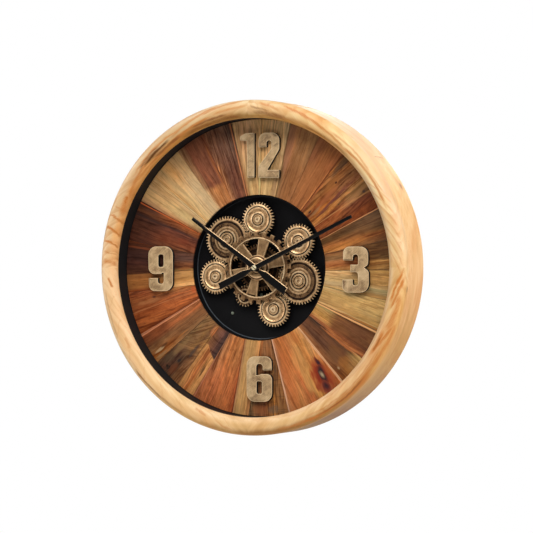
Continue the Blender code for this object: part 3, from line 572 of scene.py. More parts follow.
         patches=[(0.82, 0.25, 0.04, 0.3, (139, 70, 39), 0.6), (0.12, 0.88, 0.1, 0.1, (159, 95, 49), 0.6)]),
    dict(outer=[(0, (83, 44, 31)), (0.25, (86, 48, 34)), (0.5, (87, 49, 34)), (0.66, (65, 39, 32)), (0.72, (77, 45, 33)), (0.8, (109, 64, 39)), (0.92, (86, 53, 39)), (1, (86, 49, 37))],
         inner=[(0, (117, 71, 46)), (0.25, (134, 70, 43)), (0.45, (106, 56, 37)), (0.62, (104, 57, 42)), (0.7, (86, 52, 40)), (0.8, (140, 80, 47)), (0.95, (149, 82, 42)), (1, (160, 92, 46))],
         blend=(0.2, 0.6, 0),
         grain=(0.24, 0.18),
         warp=0.03,
         patches=[(0.4, 0.8, 0.1, 0.1, (133, 60, 36), 0.45), (0.67, 0.4, 0.03, 0.6, (61, 42, 38), 0.5)],
         lines=[(0.965, 0.975, 0.016, (208, 102, 52), 0.8)]),
    dict(outer=[(0, (176, 128, 92)), (0.3, (225, 179, 119)), (0.6, (201, 160, 110)), (0.78, (204, 158, 104)), (0.9, (221, 177, 120)), (1, (201, 159, 104))],
         inner=[(0, (172, 102, 57)), (0.3, (213, 180, 125)), (0.6, (209, 175, 118)), (0.82, (209, 169, 119)), (1, (222, 194, 141))],
         blend=(0.2, 0.7, 0),
         grain=(0.12, 0.1),
         warp=0.03,
         lines=[(0.86, 0.93, 0.018, (162, 109, 60), 0.65), (0.76, 0.7, 0.02, (173, 127, 78), 0.4)]),
    dict(outer=[(0, (231, 175, 112)), (0.25, (200, 158, 106)), (0.5, (234, 173, 104)), (0.68, (212, 166, 113)), (0.85, (203, 160, 109)), (1, (203, 162, 109))],
         inner=[(0, (229, 181, 119)), (0.25, (219, 183, 128)), (0.5, (221, 186, 137)), (0.75, (207, 175, 131)), (1, (214, 179, 132))],
         blend=(0.15, 0.6, 0),
         grain=(0.11, 0.09),
         warp=0.05,
         lines=[(0.62, 0.55, 0.02, (179, 124, 73), 0.5), (0.03, 0.1, 0.02, (179, 122, 64), 0.5)]),
    dict(outer=[(0, (169, 128, 88)), (0.3, (130, 76, 53)), (0.6, (133, 80, 56)), (0.82, (138, 84, 60)), (0.9, (133, 76, 51)), (1, (132, 78, 54))],
         inner=[(0, (223, 187, 137)), (0.2, (208, 145, 92)), (0.5, (180, 117, 68)), (0.8, (181, 118, 71)), (1, (176, 111, 63))],
         blend=(0.66, 0.76, 0),
         grain=(0.2, 0.16),
         warp=0.02,
         patches=[(0.92, 0.5, 0.05, 0.35, (159, 93, 48), 0.6)]),
    dict(outer=[(0, (132, 87, 63)), (0.3, (126, 85, 65)), (0.6, (132, 93, 73)), (0.85, (109, 81, 67)), (1, (75, 59, 52))],
         inner=[(0, (202, 138, 91)), (0.3, (120, 76, 55)), (0.6, (114, 68, 51)), (0.85, (111, 68, 48)), (1, (138, 97, 68))],
         blend=(0.3, 0.7, 0),
         grain=(0.26, 0.24),
         warp=0.02,
         lines=[(0.945, 0.96, 0.03, (207, 125, 76), 0.75), (0.88, 0.9, 0.02, (92, 56, 41), 0.4)]),
    dict(outer=[(0, (207, 164, 114)), (0.3, (235, 181, 129)), (0.6, (249, 194, 139)), (0.9, (244, 192, 130)), (1, (249, 199, 136))],
         inner=[(0, (154, 90, 51)), (0.3, (202, 168, 114)), (0.6, (196, 152, 97)), (0.85, (207, 165, 111)), (1, (249, 237, 162))],
         blend=(0.3, 0.8, 0),
         grain=(0.15, 0.13),
         lines=[(0, 0, 0.03, (139, 87, 52), 0.6), (0.98, 0.985, 0.02, (156, 101, 59), 0.7)]),
]


def plank_material(i, d, width, length):
    M = Mat("plank_wood_%02d" % (i + 1))
    P = M.attr("pl")
    a, dep, l = M.parts(P)
    s, t, _ = M.parts(M.attr("st"))
    seed = 17.3 * i + 3.1
    low = M.noise(M.vec(M.m("MULTIPLY_ADD", a, 0.05, seed), M.m("MULTIPLY", dep, 0.05),
                        M.m("MULTIPLY", l, 0.016)), detail=2.0)
    low = M.m("SUBTRACT", low, 0.5)
    mid = M.noise(M.vec(M.m("MULTIPLY_ADD", a, 0.16, seed + 40), M.m("MULTIPLY", dep, 0.16),
                        M.m("MULTIPLY", l, 0.045)), detail=3.0)
    mid = M.m("SUBTRACT", mid, 0.5)
    warp = d.get("warp", 0.03)
    s2 = M.m("ADD", s, M.m("ADD", M.m("MULTIPLY", low, warp * 3.2), M.m("MULTIPLY", mid, warp * 1.2)))
    b0, b1, skew = d["blend"]
    tt = M.m("ADD", M.m("MULTIPLY_ADD", s, skew, t),
             M.m("ADD", M.m("MULTIPLY", low, 0.12), M.m("MULTIPLY", mid, 0.05)))
    col = M.mix(M.smooth(tt, b0, b1), M.ramp(s2, d["outer"]), M.ramp(s2, d["inner"]))

    # grain lines: fine stripes that run along the plank and wander with it
    cross = M.m("ADD", a, M.m("MULTIPLY", low, 9.0))
    if d.get("diagonal"):
        cross = M.m("ADD", cross, M.m("MULTIPLY", M.m("MULTIPLY", l, d["diagonal"]), M.smooth(t, .35, .6)))
    if d.get("swirl"):
        sx, sy, amount = d["swirl"]
        rad = M.vm("LENGTH", M.vec(M.m("MULTIPLY", M.m("SUBTRACT", s, sx), width),
                                   M.m("MULTIPLY", M.m("SUBTRACT", t, sy), length), 0.0))
        cross = M.mix(M.smooth(tt, b0, b1), M.vec(cross, 0.0, 0.0), M.vec(rad, 0.0, 0.0))
        cross = M.parts(cross)[0]
    g1 = M.noise(M.vec(M.m("MULTIPLY_ADD", cross, 0.17, seed), M.m("MULTIPLY", dep, 0.2),
                       M.m("MULTIPLY", l, 0.009)), detail=3.0, rough=0.62, distort=0.25)
    g2 = M.noise(M.vec(M.m("MULTIPLY_ADD", cross, 0.46, seed + 9), M.m("MULTIPLY", dep, 0.5),
                       M.m("MULTIPLY", l, 0.022)), detail=4.0, rough=0.7, distort=0.15)
    g3 = M.noise(M.vec(M.m("MULTIPLY_ADD", cross, 1.5, seed + 5), M.m("MULTIPLY", dep, 1.2),
                       M.m("MULTIPLY", l, 0.12)), detail=3.0, rough=0.7)
    g4 = M.noise(M.vec(M.m("MULTIPLY_ADD", a, 0.10, seed + 21), M.m("MULTIPLY", dep, 0.1),
                       M.m("MULTIPLY", l, 0.06)), detail=4.0, rough=0.66, distort=0.5)
    A1, A2 = d["grain"]
    col = M.mix(M.m("MULTIPLY", M.smooth(g4, .52, .36), A1 * 2.6, clamp=True), col, M.vm("MULTIPLY", col, (0.66, 0.55, 0.45)))
    col = M.mix(M.m("MULTIPLY", M.smooth(g4, .52, .68), A1 * 2.6, clamp=True), col, M.vm("MULTIPLY", col, (1.26, 1.16, 0.98)))
    dark = M.vm("MULTIPLY", col, (0.52, 0.42, 0.35))
    light = M.vm("MULTIPLY", col, (1.34, 1.30, 1.20))
    col = M.mix(M.m("MULTIPLY", M.smooth(g1, .50, .34), A1 * 4.2, clamp=True), col, dark)
    col = M.mix(M.m("MULTIPLY", M.smooth(g1, .50, .68), A1 * 4.2, clamp=True), col, light)
    dark = M.vm("MULTIPLY", col, (0.52, 0.43, 0.37))
    light = M.vm("MULTIPLY", col, (1.34, 1.28, 1.2))
    col = M.mix(M.m("MULTIPLY", M.smooth(g2, .50, .35), A2 * 4.6, clamp=True), col, dark)
    col = M.mix(M.m("MULTIPLY", M.smooth(g2, .50, .66), A2 * 4.6, clamp=True), col, light)
    col = M.mix(M.m("MULTIPLY", M.smooth(g3, .58, .72), 0.5), col, M.vm("MULTIPLY", col, (0.50, 0.42, 0.36)))

    if d.get("cross"):
        # saw marks across and along the plank
        w1 = M.noise(M.vec(M.m("MULTIPLY", a, 0.03), seed, M.m("MULTIPLY", l, 0.55)), detail=2.0)
        w2 = M.noise(M.vec(M.m("MULTIPLY", a, 0.42), seed + 3, M.m("MULTIPLY", l, 0.03)), detail=2.0)
        mark = M.m("MAXIMUM", M.smooth(w1, .56, .68), M.smooth(w2, .56, .68))
        col = M.mix(M.m("MULTIPLY", mark, d["cross"]), col, M.vm("MULTIPLY", col, (0.42, 0.44, 0.5)))

    rough_edge = M.m("ADD", M.m("MULTIPLY", mid, 1.1), M.m("MULTIPLY", M.m("SUBTRACT", g2, .5), 0.5))
    for ps, pt, ws, wt, c, k in d.get("patches", ()):
        dist = M.vm("LENGTH", M.vec(M.m("DIVIDE", M.m("SUBTRACT", s2, ps), ws),
                                    M.m("DIVIDE", M.m("SUBTRACT", t, pt), wt), 0.0))
        mask = M.smooth(M.m("ADD", dist, rough_edge), 1.25, 0.55, 0.0, k)
        shade = M.vm("MULTIPLY", M.vm("ADD", (0.55, 0.55, 0.55), M.vm("SCALE", M.vec(g2, g2, g2), scale=0.9)), lin(c)[:3])
        col = M.mix(mask, col, shade)
    for s0, s1, w, c, k in d.get("lines", ()):
        at = M.m("MULTIPLY_ADD", t, s1 - s0, s0)
        dist = M.m("DIVIDE", M.m("ABSOLUTE", M.m("SUBTRACT", M.m("ADD", s, M.m("MULTIPLY", low, warp)), at)), w)
        mask = M.smooth(M.m("ADD", dist, M.m("MULTIPLY", mid, 0.8)), 1.25, 0.45, 0.0, k)
        col = M.mix(mask, col, lin(c))
    for ks, kt, wa, wl, cs in d.get("knots", ()):
        ca = (ks - 0.5) * width
        cl = kt * length
        dist = M.vm("LENGTH", M.vec(M.m("DIVIDE", M.m("SUBTRACT", M.m("MULTIPLY", M.m("SUBTRACT", s, .5), width), ca), wa),
                                    M.m("DIVIDE", M.m("SUBTRACT", l, cl), wl), 0.0))
        dist = M.m("ADD", dist, M.m("ADD", M.m("MULTIPLY", mid, 1.3), M.m("MULTIPLY", M.m("SUBTRACT", g2, .5), 0.35)))
        stops = [(0.75 * j / max(1, len(cs) - 1) + 0.08, c) for j, c in enumerate(cs)]
        col = M.mix(M.smooth(dist, 1.12, 0.72), col, M.ramp(dist, stops))

    hgt = M.m("ADD", M.m("MULTIPLY", g2, 0.6), M.m("MULTIPLY", g3, 0.4))
    M.bump(hgt, 0.22, 0.0006)
    rough = M.m("MULTIPLY_ADD", g2, 0.22, 0.46)
    return M.finish(col, rough, Specular_IOR_Level=0.16)


def build_planks():
    made = []
    for i, (o0, i0) in enumerate(SEAMS):
        o1, i1 = SEAMS[(i + 1) % len(SEAMS)]
        o1 += 360.0 if o1 < o0 else 0.0
        i1 += 360.0 if i1 < i0 else 0.0
        go, gi = math.degrees(0.2 / PLANK_OUT), math.degrees(0.2 / PLANK_IN)
        p0o, p1o = Vector(polar(PLANK_OUT, o0 + go)), Vector(polar(PLANK_OUT, o1 - go))
        p0i, p1i = Vector(polar(PLANK_IN, i0 + gi)), Vector(polar(PLANK_IN, i1 - gi))
        mid_o, mid_i = (p0o + p1o) / 2, (p0i + p1i) / 2
        along = (mid_i - mid_o).normalized()
        across = Vector((-along.y, along.x))
        if across.dot(p1o - p0o) < 0:
            across = -across
        width = ((p1o - p0o).length + (p1i - p0i).length) / 2
        length = PLANK_OUT - PLANK_IN
        lift = 0.16 * (noise.noise(Vector((i * 3.7, 0.3, 1.9))) + 0.35)
        nu, nv = max(6, int((o1 - o0) / 1.6)), 26
        bw, bl = 0.45 / width, 0.45 / length
        us = [0.0, bw] + [bw + (1 - 2 * bw) * k / nu for k in range(1, nu)] + [1 - bw, 1.0]
        vs = [0.0, bl] + [bl + (1 - 2 * bl) * k / nv for k in range(1, nv)] + [1 - bl, 1.0]
        verts, pl, st = [], [], []

        def add(x, y, z, s, t):
            q = Vector((x, z)) - mid_o
            pl.append((q.dot(across), y, q.dot(along)))
            st.append((s, t, 0.0))
            verts.append((x, y, z))
            return len(verts) - 1

        grid = []
        for b, v in enumerate(vs):
            row = []
            l0, l1 = p0o.lerp(p0i, v), p1o.lerp(p1i, v)
            for a, u in enumerate(us):
                p = l0.lerp(l1, u)
                p = p.normalized() * (l0.length * (1 - u) + l1.length * u)
                edge = a in (0, len(us) - 1) or b in (0, len(vs) - 1)
                y = 0.42 if edge else 0.06 + max(0.0, lift) + 0.05 * noise.noise(Vector((p.x * .05, p.y * .05, i)))
                row.append(add(p.x, y, p.y, u, v))
            grid.append(row)
        faces = []
        for b in range(len(vs) - 1):
            for a in range(len(us) - 1):
                faces.append((grid[b][a], grid[b][a + 1], grid[b + 1][a + 1], grid[b + 1][a]))
        rim_loop = ([grid[0][a] for a in range(len(us))] + [grid[b][-1] for b in range(1, len(vs))]
                    + [grid[-1][a] for a in range(len(us) - 2, -1, -1)]
                    + [grid[b][0] for b in range(len(vs) - 2, 0, -1)])
        low = [add(verts[k][0], 5.0, verts[k][2], st[k][0], st[k][1]) for k in rim_loop]
        for k in range(len(rim_loop)):
            k2 = (k + 1) % len(rim_loop)
            faces.append((rim_loop[k], rim_loop[k2], low[k2], low[k]))
        faces.append(tuple(low))
        name = "plank_%02d" % (i + 1)
        ob = piece("dial_" + name, verts, faces, [plank_material(i, PLANKS[i], width, length)],
                   sharp=25.0, point={"pl": pl, "st": st})
        made.append(ob)
        slot = [m["material_slot"] for m in frame["record"]["subparts"] if m["node"] == name][0]
        place(ob, "case", slot, name)
    return made


# ------------------------------------------------------------------ rim wood
RING_STRENGTH = [(0, .3), (14, .35), (32, .35), (48, .25), (66, .3), (84, .3), (100, .3), (118, .35),
                 (140, .35), (156, .25), (170, .18), (200, .14), (235, .16), (262, .15), (270, .15), (271.5, .38),
                 (288, .4), (300, .3), (316, .3), (330, .3), (345, .4), (360, .3)]


# tone of the boards round the rim, with painted light and shade in it: by clock angle, on the inner flank of the
# bead, on its crown, and on its outer flank with the side (shares of 1.5). Painted shade darkens the flanks
# that face down, the inner one at the top and the outer one and the side at the bottom; a painted
# sheen pales the outer flank on the left.
TONE_AND_SHADING_INNER = [(0, 0.78, 0.68, 0.41), (30, 0.96, 0.77, 0.44), (60, 0.85, 0.92, 1.02), (90, 0.84, 0.89, 0.93), (120, 0.86, 0.9, 0.97), (150, 1.03, 1.04, 1.09),
              (180, 1.11, 1.17, 1.28), (210, 1.13, 1.24, 1.29), (240, 1.23, 1.32, 1.46), (270, 1.19, 1.13, 1.11), (285, 1.15, 0.96, 0.73), (300, 1.01, 0.74, 0.45),
              (330, 0.88, 0.63, 0.27), (360, 0.78, 0.68, 0.41)]
TONE_AND_SHADING_CROWN = [(0, 1.02, 1.04, 1.02), (30, 1.06, 1.13, 1.02), (60, 1.17, 1.39, 1.47), (90, 0.98, 0.95, 0.81), (105, 1.04, 1.08, 0.98), (120, 0.96, 0.85, 0.75),
              (135, 1.08, 1.1, 1.1), (150, 0.99, 0.96, 0.84), (180, 0.99, 0.95, 0.82), (210, 1.06, 1.05, 0.98), (240, 1.09, 1.07, 1.06), (270, 1.12, 1.13, 1.16),
              (300, 0.91, 0.94, 0.99), (330, 0.83, 0.88, 0.86), (360, 1.02, 1.04, 1.02)]
TONE_AND_SHADING_OUTER = [(0, 0.99, 1.12, 1.24), (30, 1.03, 0.97, 0.85), (60, 1.07, 1.07, 1.28), (90, 1.08, 1.11, 1.09), (105, 1.02, 0.9, 0.63), (120, 0.9, 0.71, 0.42),
              (150, 0.55, 0.4, 0.17), (165, 0.48, 0.34, 0.15), (180, 0.52, 0.38, 0.2), (210, 0.88, 0.79, 0.53), (240, 1.15, 1.24, 1.36), (270, 1.25, 1.32, 1.5),
              (300, 1.15, 1.27, 1.5), (330, 1, 1.13, 1.45), (360, 0.99, 1.12, 1.24)]

TONE_AND_SHADING_SIDE = [(0, 1.12, 1.17, 1.16), (15, 1.08, 0.98, 0.84), (27, 1.02, 0.71, 0.46), (47, 1.06, 0.77, 0.52), (51, 1.1, 0.98, 0.85), (60, 1.18, 1.18, 1.1),
             (90, 1.15, 1.07, 1.01), (105, 1.04, 0.92, 0.81), (120, 0.84, 0.72, 0.5), (150, 0.35, 0.22, 0.07), (165, 0.4, 0.31, 0.13), (180, 0.48, 0.4, 0.22),
             (210, 0.92, 0.84, 0.68), (240, 1.06, 1, 0.88), (270, 1.15, 1.1, 0.98), (300, 1.16, 1.12, 1), (330, 1.14, 1.13, 1.06), (360, 1.12, 1.17, 1.18)]

# grain that stands out on the bead: clock angle and distance over the bead of
# one end, then of the other, bow, half width (mm), strength, tint
STREAKS = [
    # the broad brown lines (tint 1) on the inner flank near 12, from 330 to 46 degrees and 7 to 26 mm over the bead,
    # are partly grain and partly painted shade, as that flank faces down
    (2, 17, 16, 12, 0, 2.2, .50, 1), (12, 34, 34, 20, 0, 1.4, .65, 0), (20, 28, 44, 16.5, 1, 1.1, .60, 0),
    (38, 16.5, 70, 24, 1.5, 1.2, .70, 0), (33, 25, 57, 26, 1, .9, .45, 0), (4, 33, 13, 23, 0, 1.2, .45, 0),
    (0.5, 26, 9, 18, 0, 1.0, .45, 1), (22, 11, 46, 12, 0, 1.8, .45, 1), (46, 20, 64, 29, 0, .7, .4, 0),
    (90, 34, 102.5, 17, -1, 1.2, .80, 0), (92.5, 38, 105, 21, -1.5, 1.3, .75, 0), (99, 31, 113, 27, 1, 2.8, .55, 0),
    (103, 36, 112, 22, 0, 1.0, .60, 0), (109, 35, 124, 17, -2, 1.2, .70, 0), (112.5, 21, 122.5, 18.5, 0, 1.9, .90, 0), (115, 20.4, 121, 18.8, 0, .7, .55, 1),
    (108, 38, 128, 30, 0, 2.0, .60, 0), (124, 31, 163, 29, 2, 1.7, .95, 0), (130, 31.6, 153, 30.4, 1.4, .6, .60, 1), (128, 36, 142, 33, 0, 2.6, .60, 0),
    (140, 33, 170, 30, 0, 1.5, .50, 0), (118, 24, 158, 23, 2.5, .7, .45, 0), (116, 27, 150, 27, 2, .7, .45, 0),
    (126, 15, 150, 12, 0, .8, .3, 0),
    (186, 30, 194, 18, 0, .8, .35, 0), (197, 17, 203, 12, 0, 1.3, .45, 0), (214, 30, 231, 29, -.6, 1.1, .60, 1),
    (262.5, 14, 266.5, 19.5, 0, 1.0, .80, 0), (238, 18, 243, 15, 0, 1.2, .40, 0), (205, 30, 218, 28, 0, 1.0, .30, 1),
    (243, 28, 262, 27, -.5, .9, .30, 1),
    (271.2, 3, 272.8, 31, -1.0, 2.2, .50, 0), (274.6, 2, 276.0, 30, -1.5, .7, .40, 0), (277.6, 1, 280.0, 34, -2.6, 1.1, .72, 0),
    (282, 1, 284.8, 35, -3.4, 1.3, .78, 0), (287, 1, 289.4, 33, -3.0, 1.1, .62, 0), (291, 3, 293, 28, -2.4, .8, .40, 0),
    (290, 10, 299, 14, 0, 2.8, .50, 0), (295, 12.5, 298.5, 13, 0, 1.5, .85, 0), (297, 10, 316, 17, 1, 1.2, .50, 0),
    (311.5, 16, 326, 16.8, .6, 1.0, .90, 2), (305, 20, 335, 21, 2.5, .9, .55, 0), (306, 12.5, 334, 12, -3, .9, .55, 0),
    (309, 18, 322, 21, 1, 1.0, .6, 1), (316, 13, 331, 12, -1, 1.0, .6, 1),
    (322, 10, 346, 19, 0, 1.2, .65, 0), (326, 18, 350, 34, 0, 1.2, .55, 0), (335, 13, 352, 15.5, 0, 1.0, .65, 1),
    (49.3, 66, 49.7, 106, 0, .2, .60, 1), (22, 58, 48, 84, 0, 6.0, .16, 0),
    (340, 26, 358, 36, 0, 1.0, .50, 0), (330, 7, 359.5, 10, 0, 2.5, .50, 1), (345, 20, 359.5, 26, 0, 1.0, .45, 0),
]
STREAKS += [(56 + 4.4 * k, 9, 68 + 4.4 * k, 34, 1.5, .6, .32, 0) for k in range(7)]
STREAKS += [(185 + 9.6 * k, 33, 191 + 9.9 * k, 9, 0, .5, .13, 0) for k in range(8)]


def rim_material():
    M = Mat("rim_pine")
    G = M.attr("gr")                  # along, across and depth within the board
    al, ac, dp = M.parts(G)
    ang, along_prof, board = M.parts(M.attr("ra"))
    w1 = M.m("SUBTRACT", M.noise(M.vec(M.m("MULTIPLY", al, 0.010), M.m("MULTIPLY", ac, 0.022),
                                       M.m("MULTIPLY_ADD", dp, 0.022, M.m("MULTIPLY", board, 7.7))), detail=2.0), 0.5)
    w2 = M.m("SUBTRACT", M.noise(M.vec(M.m("MULTIPLY", al, 0.03), M.m("MULTIPLY", ac, 0.09),
                                       M.m("MULTIPLY_ADD", dp, 0.09, M.m("MULTIPLY", board, 3.1))), detail=3.0), 0.5)
    rho = M.vm("LENGTH", M.vec(0.0, ac, dp))
    rho = M.m("ADD", rho, M.m("ADD", M.m("MULTIPLY", w1, 22.0), M.m("MULTIPLY", w2, 4.5)))

    def bulge(at_ang, at_prof, wa, wp, height):
        x = M.m("DIVIDE", M.m("SUBTRACT", ang, at_ang), wa)
        y = M.m("DIVIDE", M.m("SUBTRACT", along_prof, at_prof), wp)
        d = M.vm("LENGTH", M.vec(x, y, 0.0))
        return d, M.m("MULTIPLY", M.m("EXPONENT", M.m("MULTIPLY", M.m("MULTIPLY", d, d), -1.0)), height)

    swirls = [bulge(318.5, 16.5, 7.5, 4.8, 9.0), bulge(117.8, 19.5, 5.0, 3.8, 7.0),
              bulge(97.5, 47.4, 1.8, 4.0, 10.0), bulge(61.2, 100.0, 1.8, 6.0, 12.0),
              bulge(18.0, 13.0, 13.0, 5.5, 6.0), bulge(134.0, 33.0, 12.0, 5.0, 6.0), bulge(61.2, 98.0, 5.0, 13.0, 0.0)]
    for _, h in swirls:
        rho = M.m("ADD", rho, h)
    spacing = M.m("MULTIPLY_ADD", M.m("MULTIPLY", M.smooth(board, 2.4, 2.6), M.smooth(board, 3.6, 3.4)), 2.6, 6.8)
    cyc = M.m("FRACT", M.m("DIVIDE", rho, spacing))
    late = M.m("MULTIPLY", M.smooth(cyc, 0.22, 0.85), M.smooth(cyc, 1.0, 0.86))
    # how strongly the rings show, round the front boards and on the back ones
    turn = M.m("DIVIDE", ang, 360.0)
    around = M.ramp(turn, [(d / 360.0, (v, v, v, 1.0)) for d, v in RING_STRENGTH])
    back_layer = M.smooth(board, 3.4, 3.6)
    side_part = M.smooth(along_prof, 44.0, 52.0)
    strength = M.mix(back_layer, M.vm("SCALE", around, scale=1.0), (0.2, 0.2, 0.2, 1.0))
    strength = M.parts(strength)[0]
    strength = M.m("MULTIPLY", strength, M.smooth(side_part, 0.0, 1.0, 1.0, 0.45))
    strength = M.m("MULTIPLY", strength, M.smooth(M.m("ADD", w1, M.m("MULTIPLY", w2, 0.6)), -0.2, 0.16, 0.35, 1.25))
    fine = M.noise(M.vec(M.m("MULTIPLY", al, 0.02), M.m("MULTIPLY", ac, 0.9),
                         M.m("MULTIPLY", dp, 0.9)), detail=3.0, rough=0.6)
    tone = M.noise(M.vec(M.m("MULTIPLY", al, 0.006), M.m("MULTIPLY", ac, 0.05),
                         M.m("MULTIPLY_ADD", dp, 0.05, M.m("MULTIPLY", board, 1.9))), detail=2.0)
    col = M.ramp(tone, [(0.28, (222, 178, 124)), (0.45, (234, 192, 140)), (0.58, (240, 202, 154)), (0.75, (231, 184, 128))])
    streak = M.ramp(tone, [(0.3, (194, 122, 60)), (0.5, (212, 142, 78)), (0.72, (182, 106, 48))])
    col = M.mix(M.m("MULTIPLY", late, strength, clamp=True), col, streak)
    glow = M.noise(M.vec(M.m("MULTIPLY", al, 0.012), M.m("MULTIPLY", ac, 0.04), M.m("MULTIPLY", dp, 0.04)), detail=2.0)
    col = M.mix(M.m("MULTIPLY", M.smooth(glow, .5, .68), M.m("MULTIPLY_ADD", back_layer, 0.25, 0.22)), col, lin((222, 158, 100)))
    col = M.mix(M.m("MULTIPLY", M.smooth(fine, .5, .28), .30), col, M.vm("MULTIPLY", col, (0.72, 0.62, 0.52)))
    col = M.mix(M.m("MULTIPLY", M.smooth(fine, .52, .74), .25), col, M.vm("MULTIPLY", col, (1.14, 1.13, 1.12)))
    # painted light and shade: the tone tables scale the wood colour round the rim
    tone_and_shading_ramps = [M.ramp(M.m("ADD", turn, M.m("MULTIPLY", w1, 0.03)), [(d / 360.0, (r / 1.5, g / 1.5, b / 1.5, 1.0)) for d, r, g, b in rows])
             for rows in (TONE_AND_SHADING_INNER, TONE_AND_SHADING_CROWN, TONE_AND_SHADING_OUTER, TONE_AND_SHADING_SIDE)]
    across = M.m("ADD", along_prof, M.m("MULTIPLY", w2, 10.0))
    tone_and_shading_at = M.mix(M.smooth(across, 10.0, 21.0), tone_and_shading_ramps[0], tone_and_shading_ramps[1])
    tone_and_shading_at = M.mix(M.smooth(across, 23.0, 34.0), tone_and_shading_at, tone_and_shading_ramps[2])
    tone_and_shading_at = M.mix(M.smooth(across, 42.0, 54.0), tone_and_shading_at, tone_and_shading_ramps[3])
    col = M.vm("MULTIPLY", col, M.vm("SCALE", tone_and_shading_at, scale=1.5))
    for (dist, _), dark, k in zip(swirls, ((124, 76, 40), (166, 104, 66), (116, 74, 44), (152, 100, 62), (190, 128, 74), (196, 124, 62), (226, 152, 104)),
                                  (0.6, 0.35, 0.95, 0.9, 0.35, 0.45, 0.45)):
        mask = M.smooth(M.m("ADD", dist, M.m("MULTIPLY", w2, 1.8)), 1.0, 0.1, 0.0, k)
        col = M.mix(mask, col, lin(dark))
    # listed grain, in millimetres round and over the bead
    wob = M.noise(M.vec(M.m("MULTIPLY", al, 0.05), M.m("MULTIPLY", ac, 0.12), M.m("MULTIPLY", dp, 0.12)), detail=3.0, rough=0.6)
    wob = M.m("SUBTRACT", wob, 0.5)
    px = M.m("MULTIPLY_ADD", wob, 9.0, M.m("MULTIPLY", ang, 4.45))
    py = M.m("MULTIPLY_ADD", wob, 5.0, along_prof)
    sums = [None, None, None]
    for a0, p0, a1, p1, bow, half, k, tint in STREAKS:
        dx, dy = (a1 - a0) * 4.45, float(p1 - p0)
        size = math.hypot(dx, dy)
        ux, uy = dx / size, dy / size
        t = M.m("MULTIPLY_ADD", py, uy / size, M.m("MULTIPLY_ADD", px, ux / size, -(a0 * 4.45 * ux + p0 * uy) / size))
        off = M.m("MULTIPLY_ADD", py, ux, M.m("MULTIPLY_ADD", px, -uy, a0 * 4.45 * uy - p0 * ux))
        hump = M.m("MULTIPLY", t, M.m("SUBTRACT", 1.0, t))
        off = M.m("ABSOLUTE", M.m("MULTIPLY_ADD", hump, -4.0 * bow, off))
        line = M.m("MULTIPLY_ADD", off, -1.35 / (half * 2.0 + 0.7), 1.35, clamp=True)
        line = M.m("MULTIPLY", line, M.m("MULTIPLY", hump, 7.0, clamp=True))
        line = M.m("MULTIPLY", line, min(1.0, k * 1.3))
        sums[tint] = line if sums[tint] is None else M.m("MAXIMUM", sums[tint], line)
    grainy = M.smooth(fine, .25, .6, 1.25, .8)
    for line, tint in zip(sums, ((206, 124, 56), (150, 90, 44), (96, 54, 24))):
        col = M.mix(M.m("MULTIPLY", line, grainy, clamp=True), col, lin(tint))
    hgt = M.m("ADD", M.m("MULTIPLY", late, 0.5), M.m("MULTIPLY", fine, 0.5))
    M.bump(hgt, 0.10, 0.0005)
    rough = M.m("MULTIPLY_ADD", fine, 0.16, 0.30)
    return M.finish(col, rough, Specular_IOR_Level=0.15, Coat_Weight=0.03, Coat_Roughness=0.28)


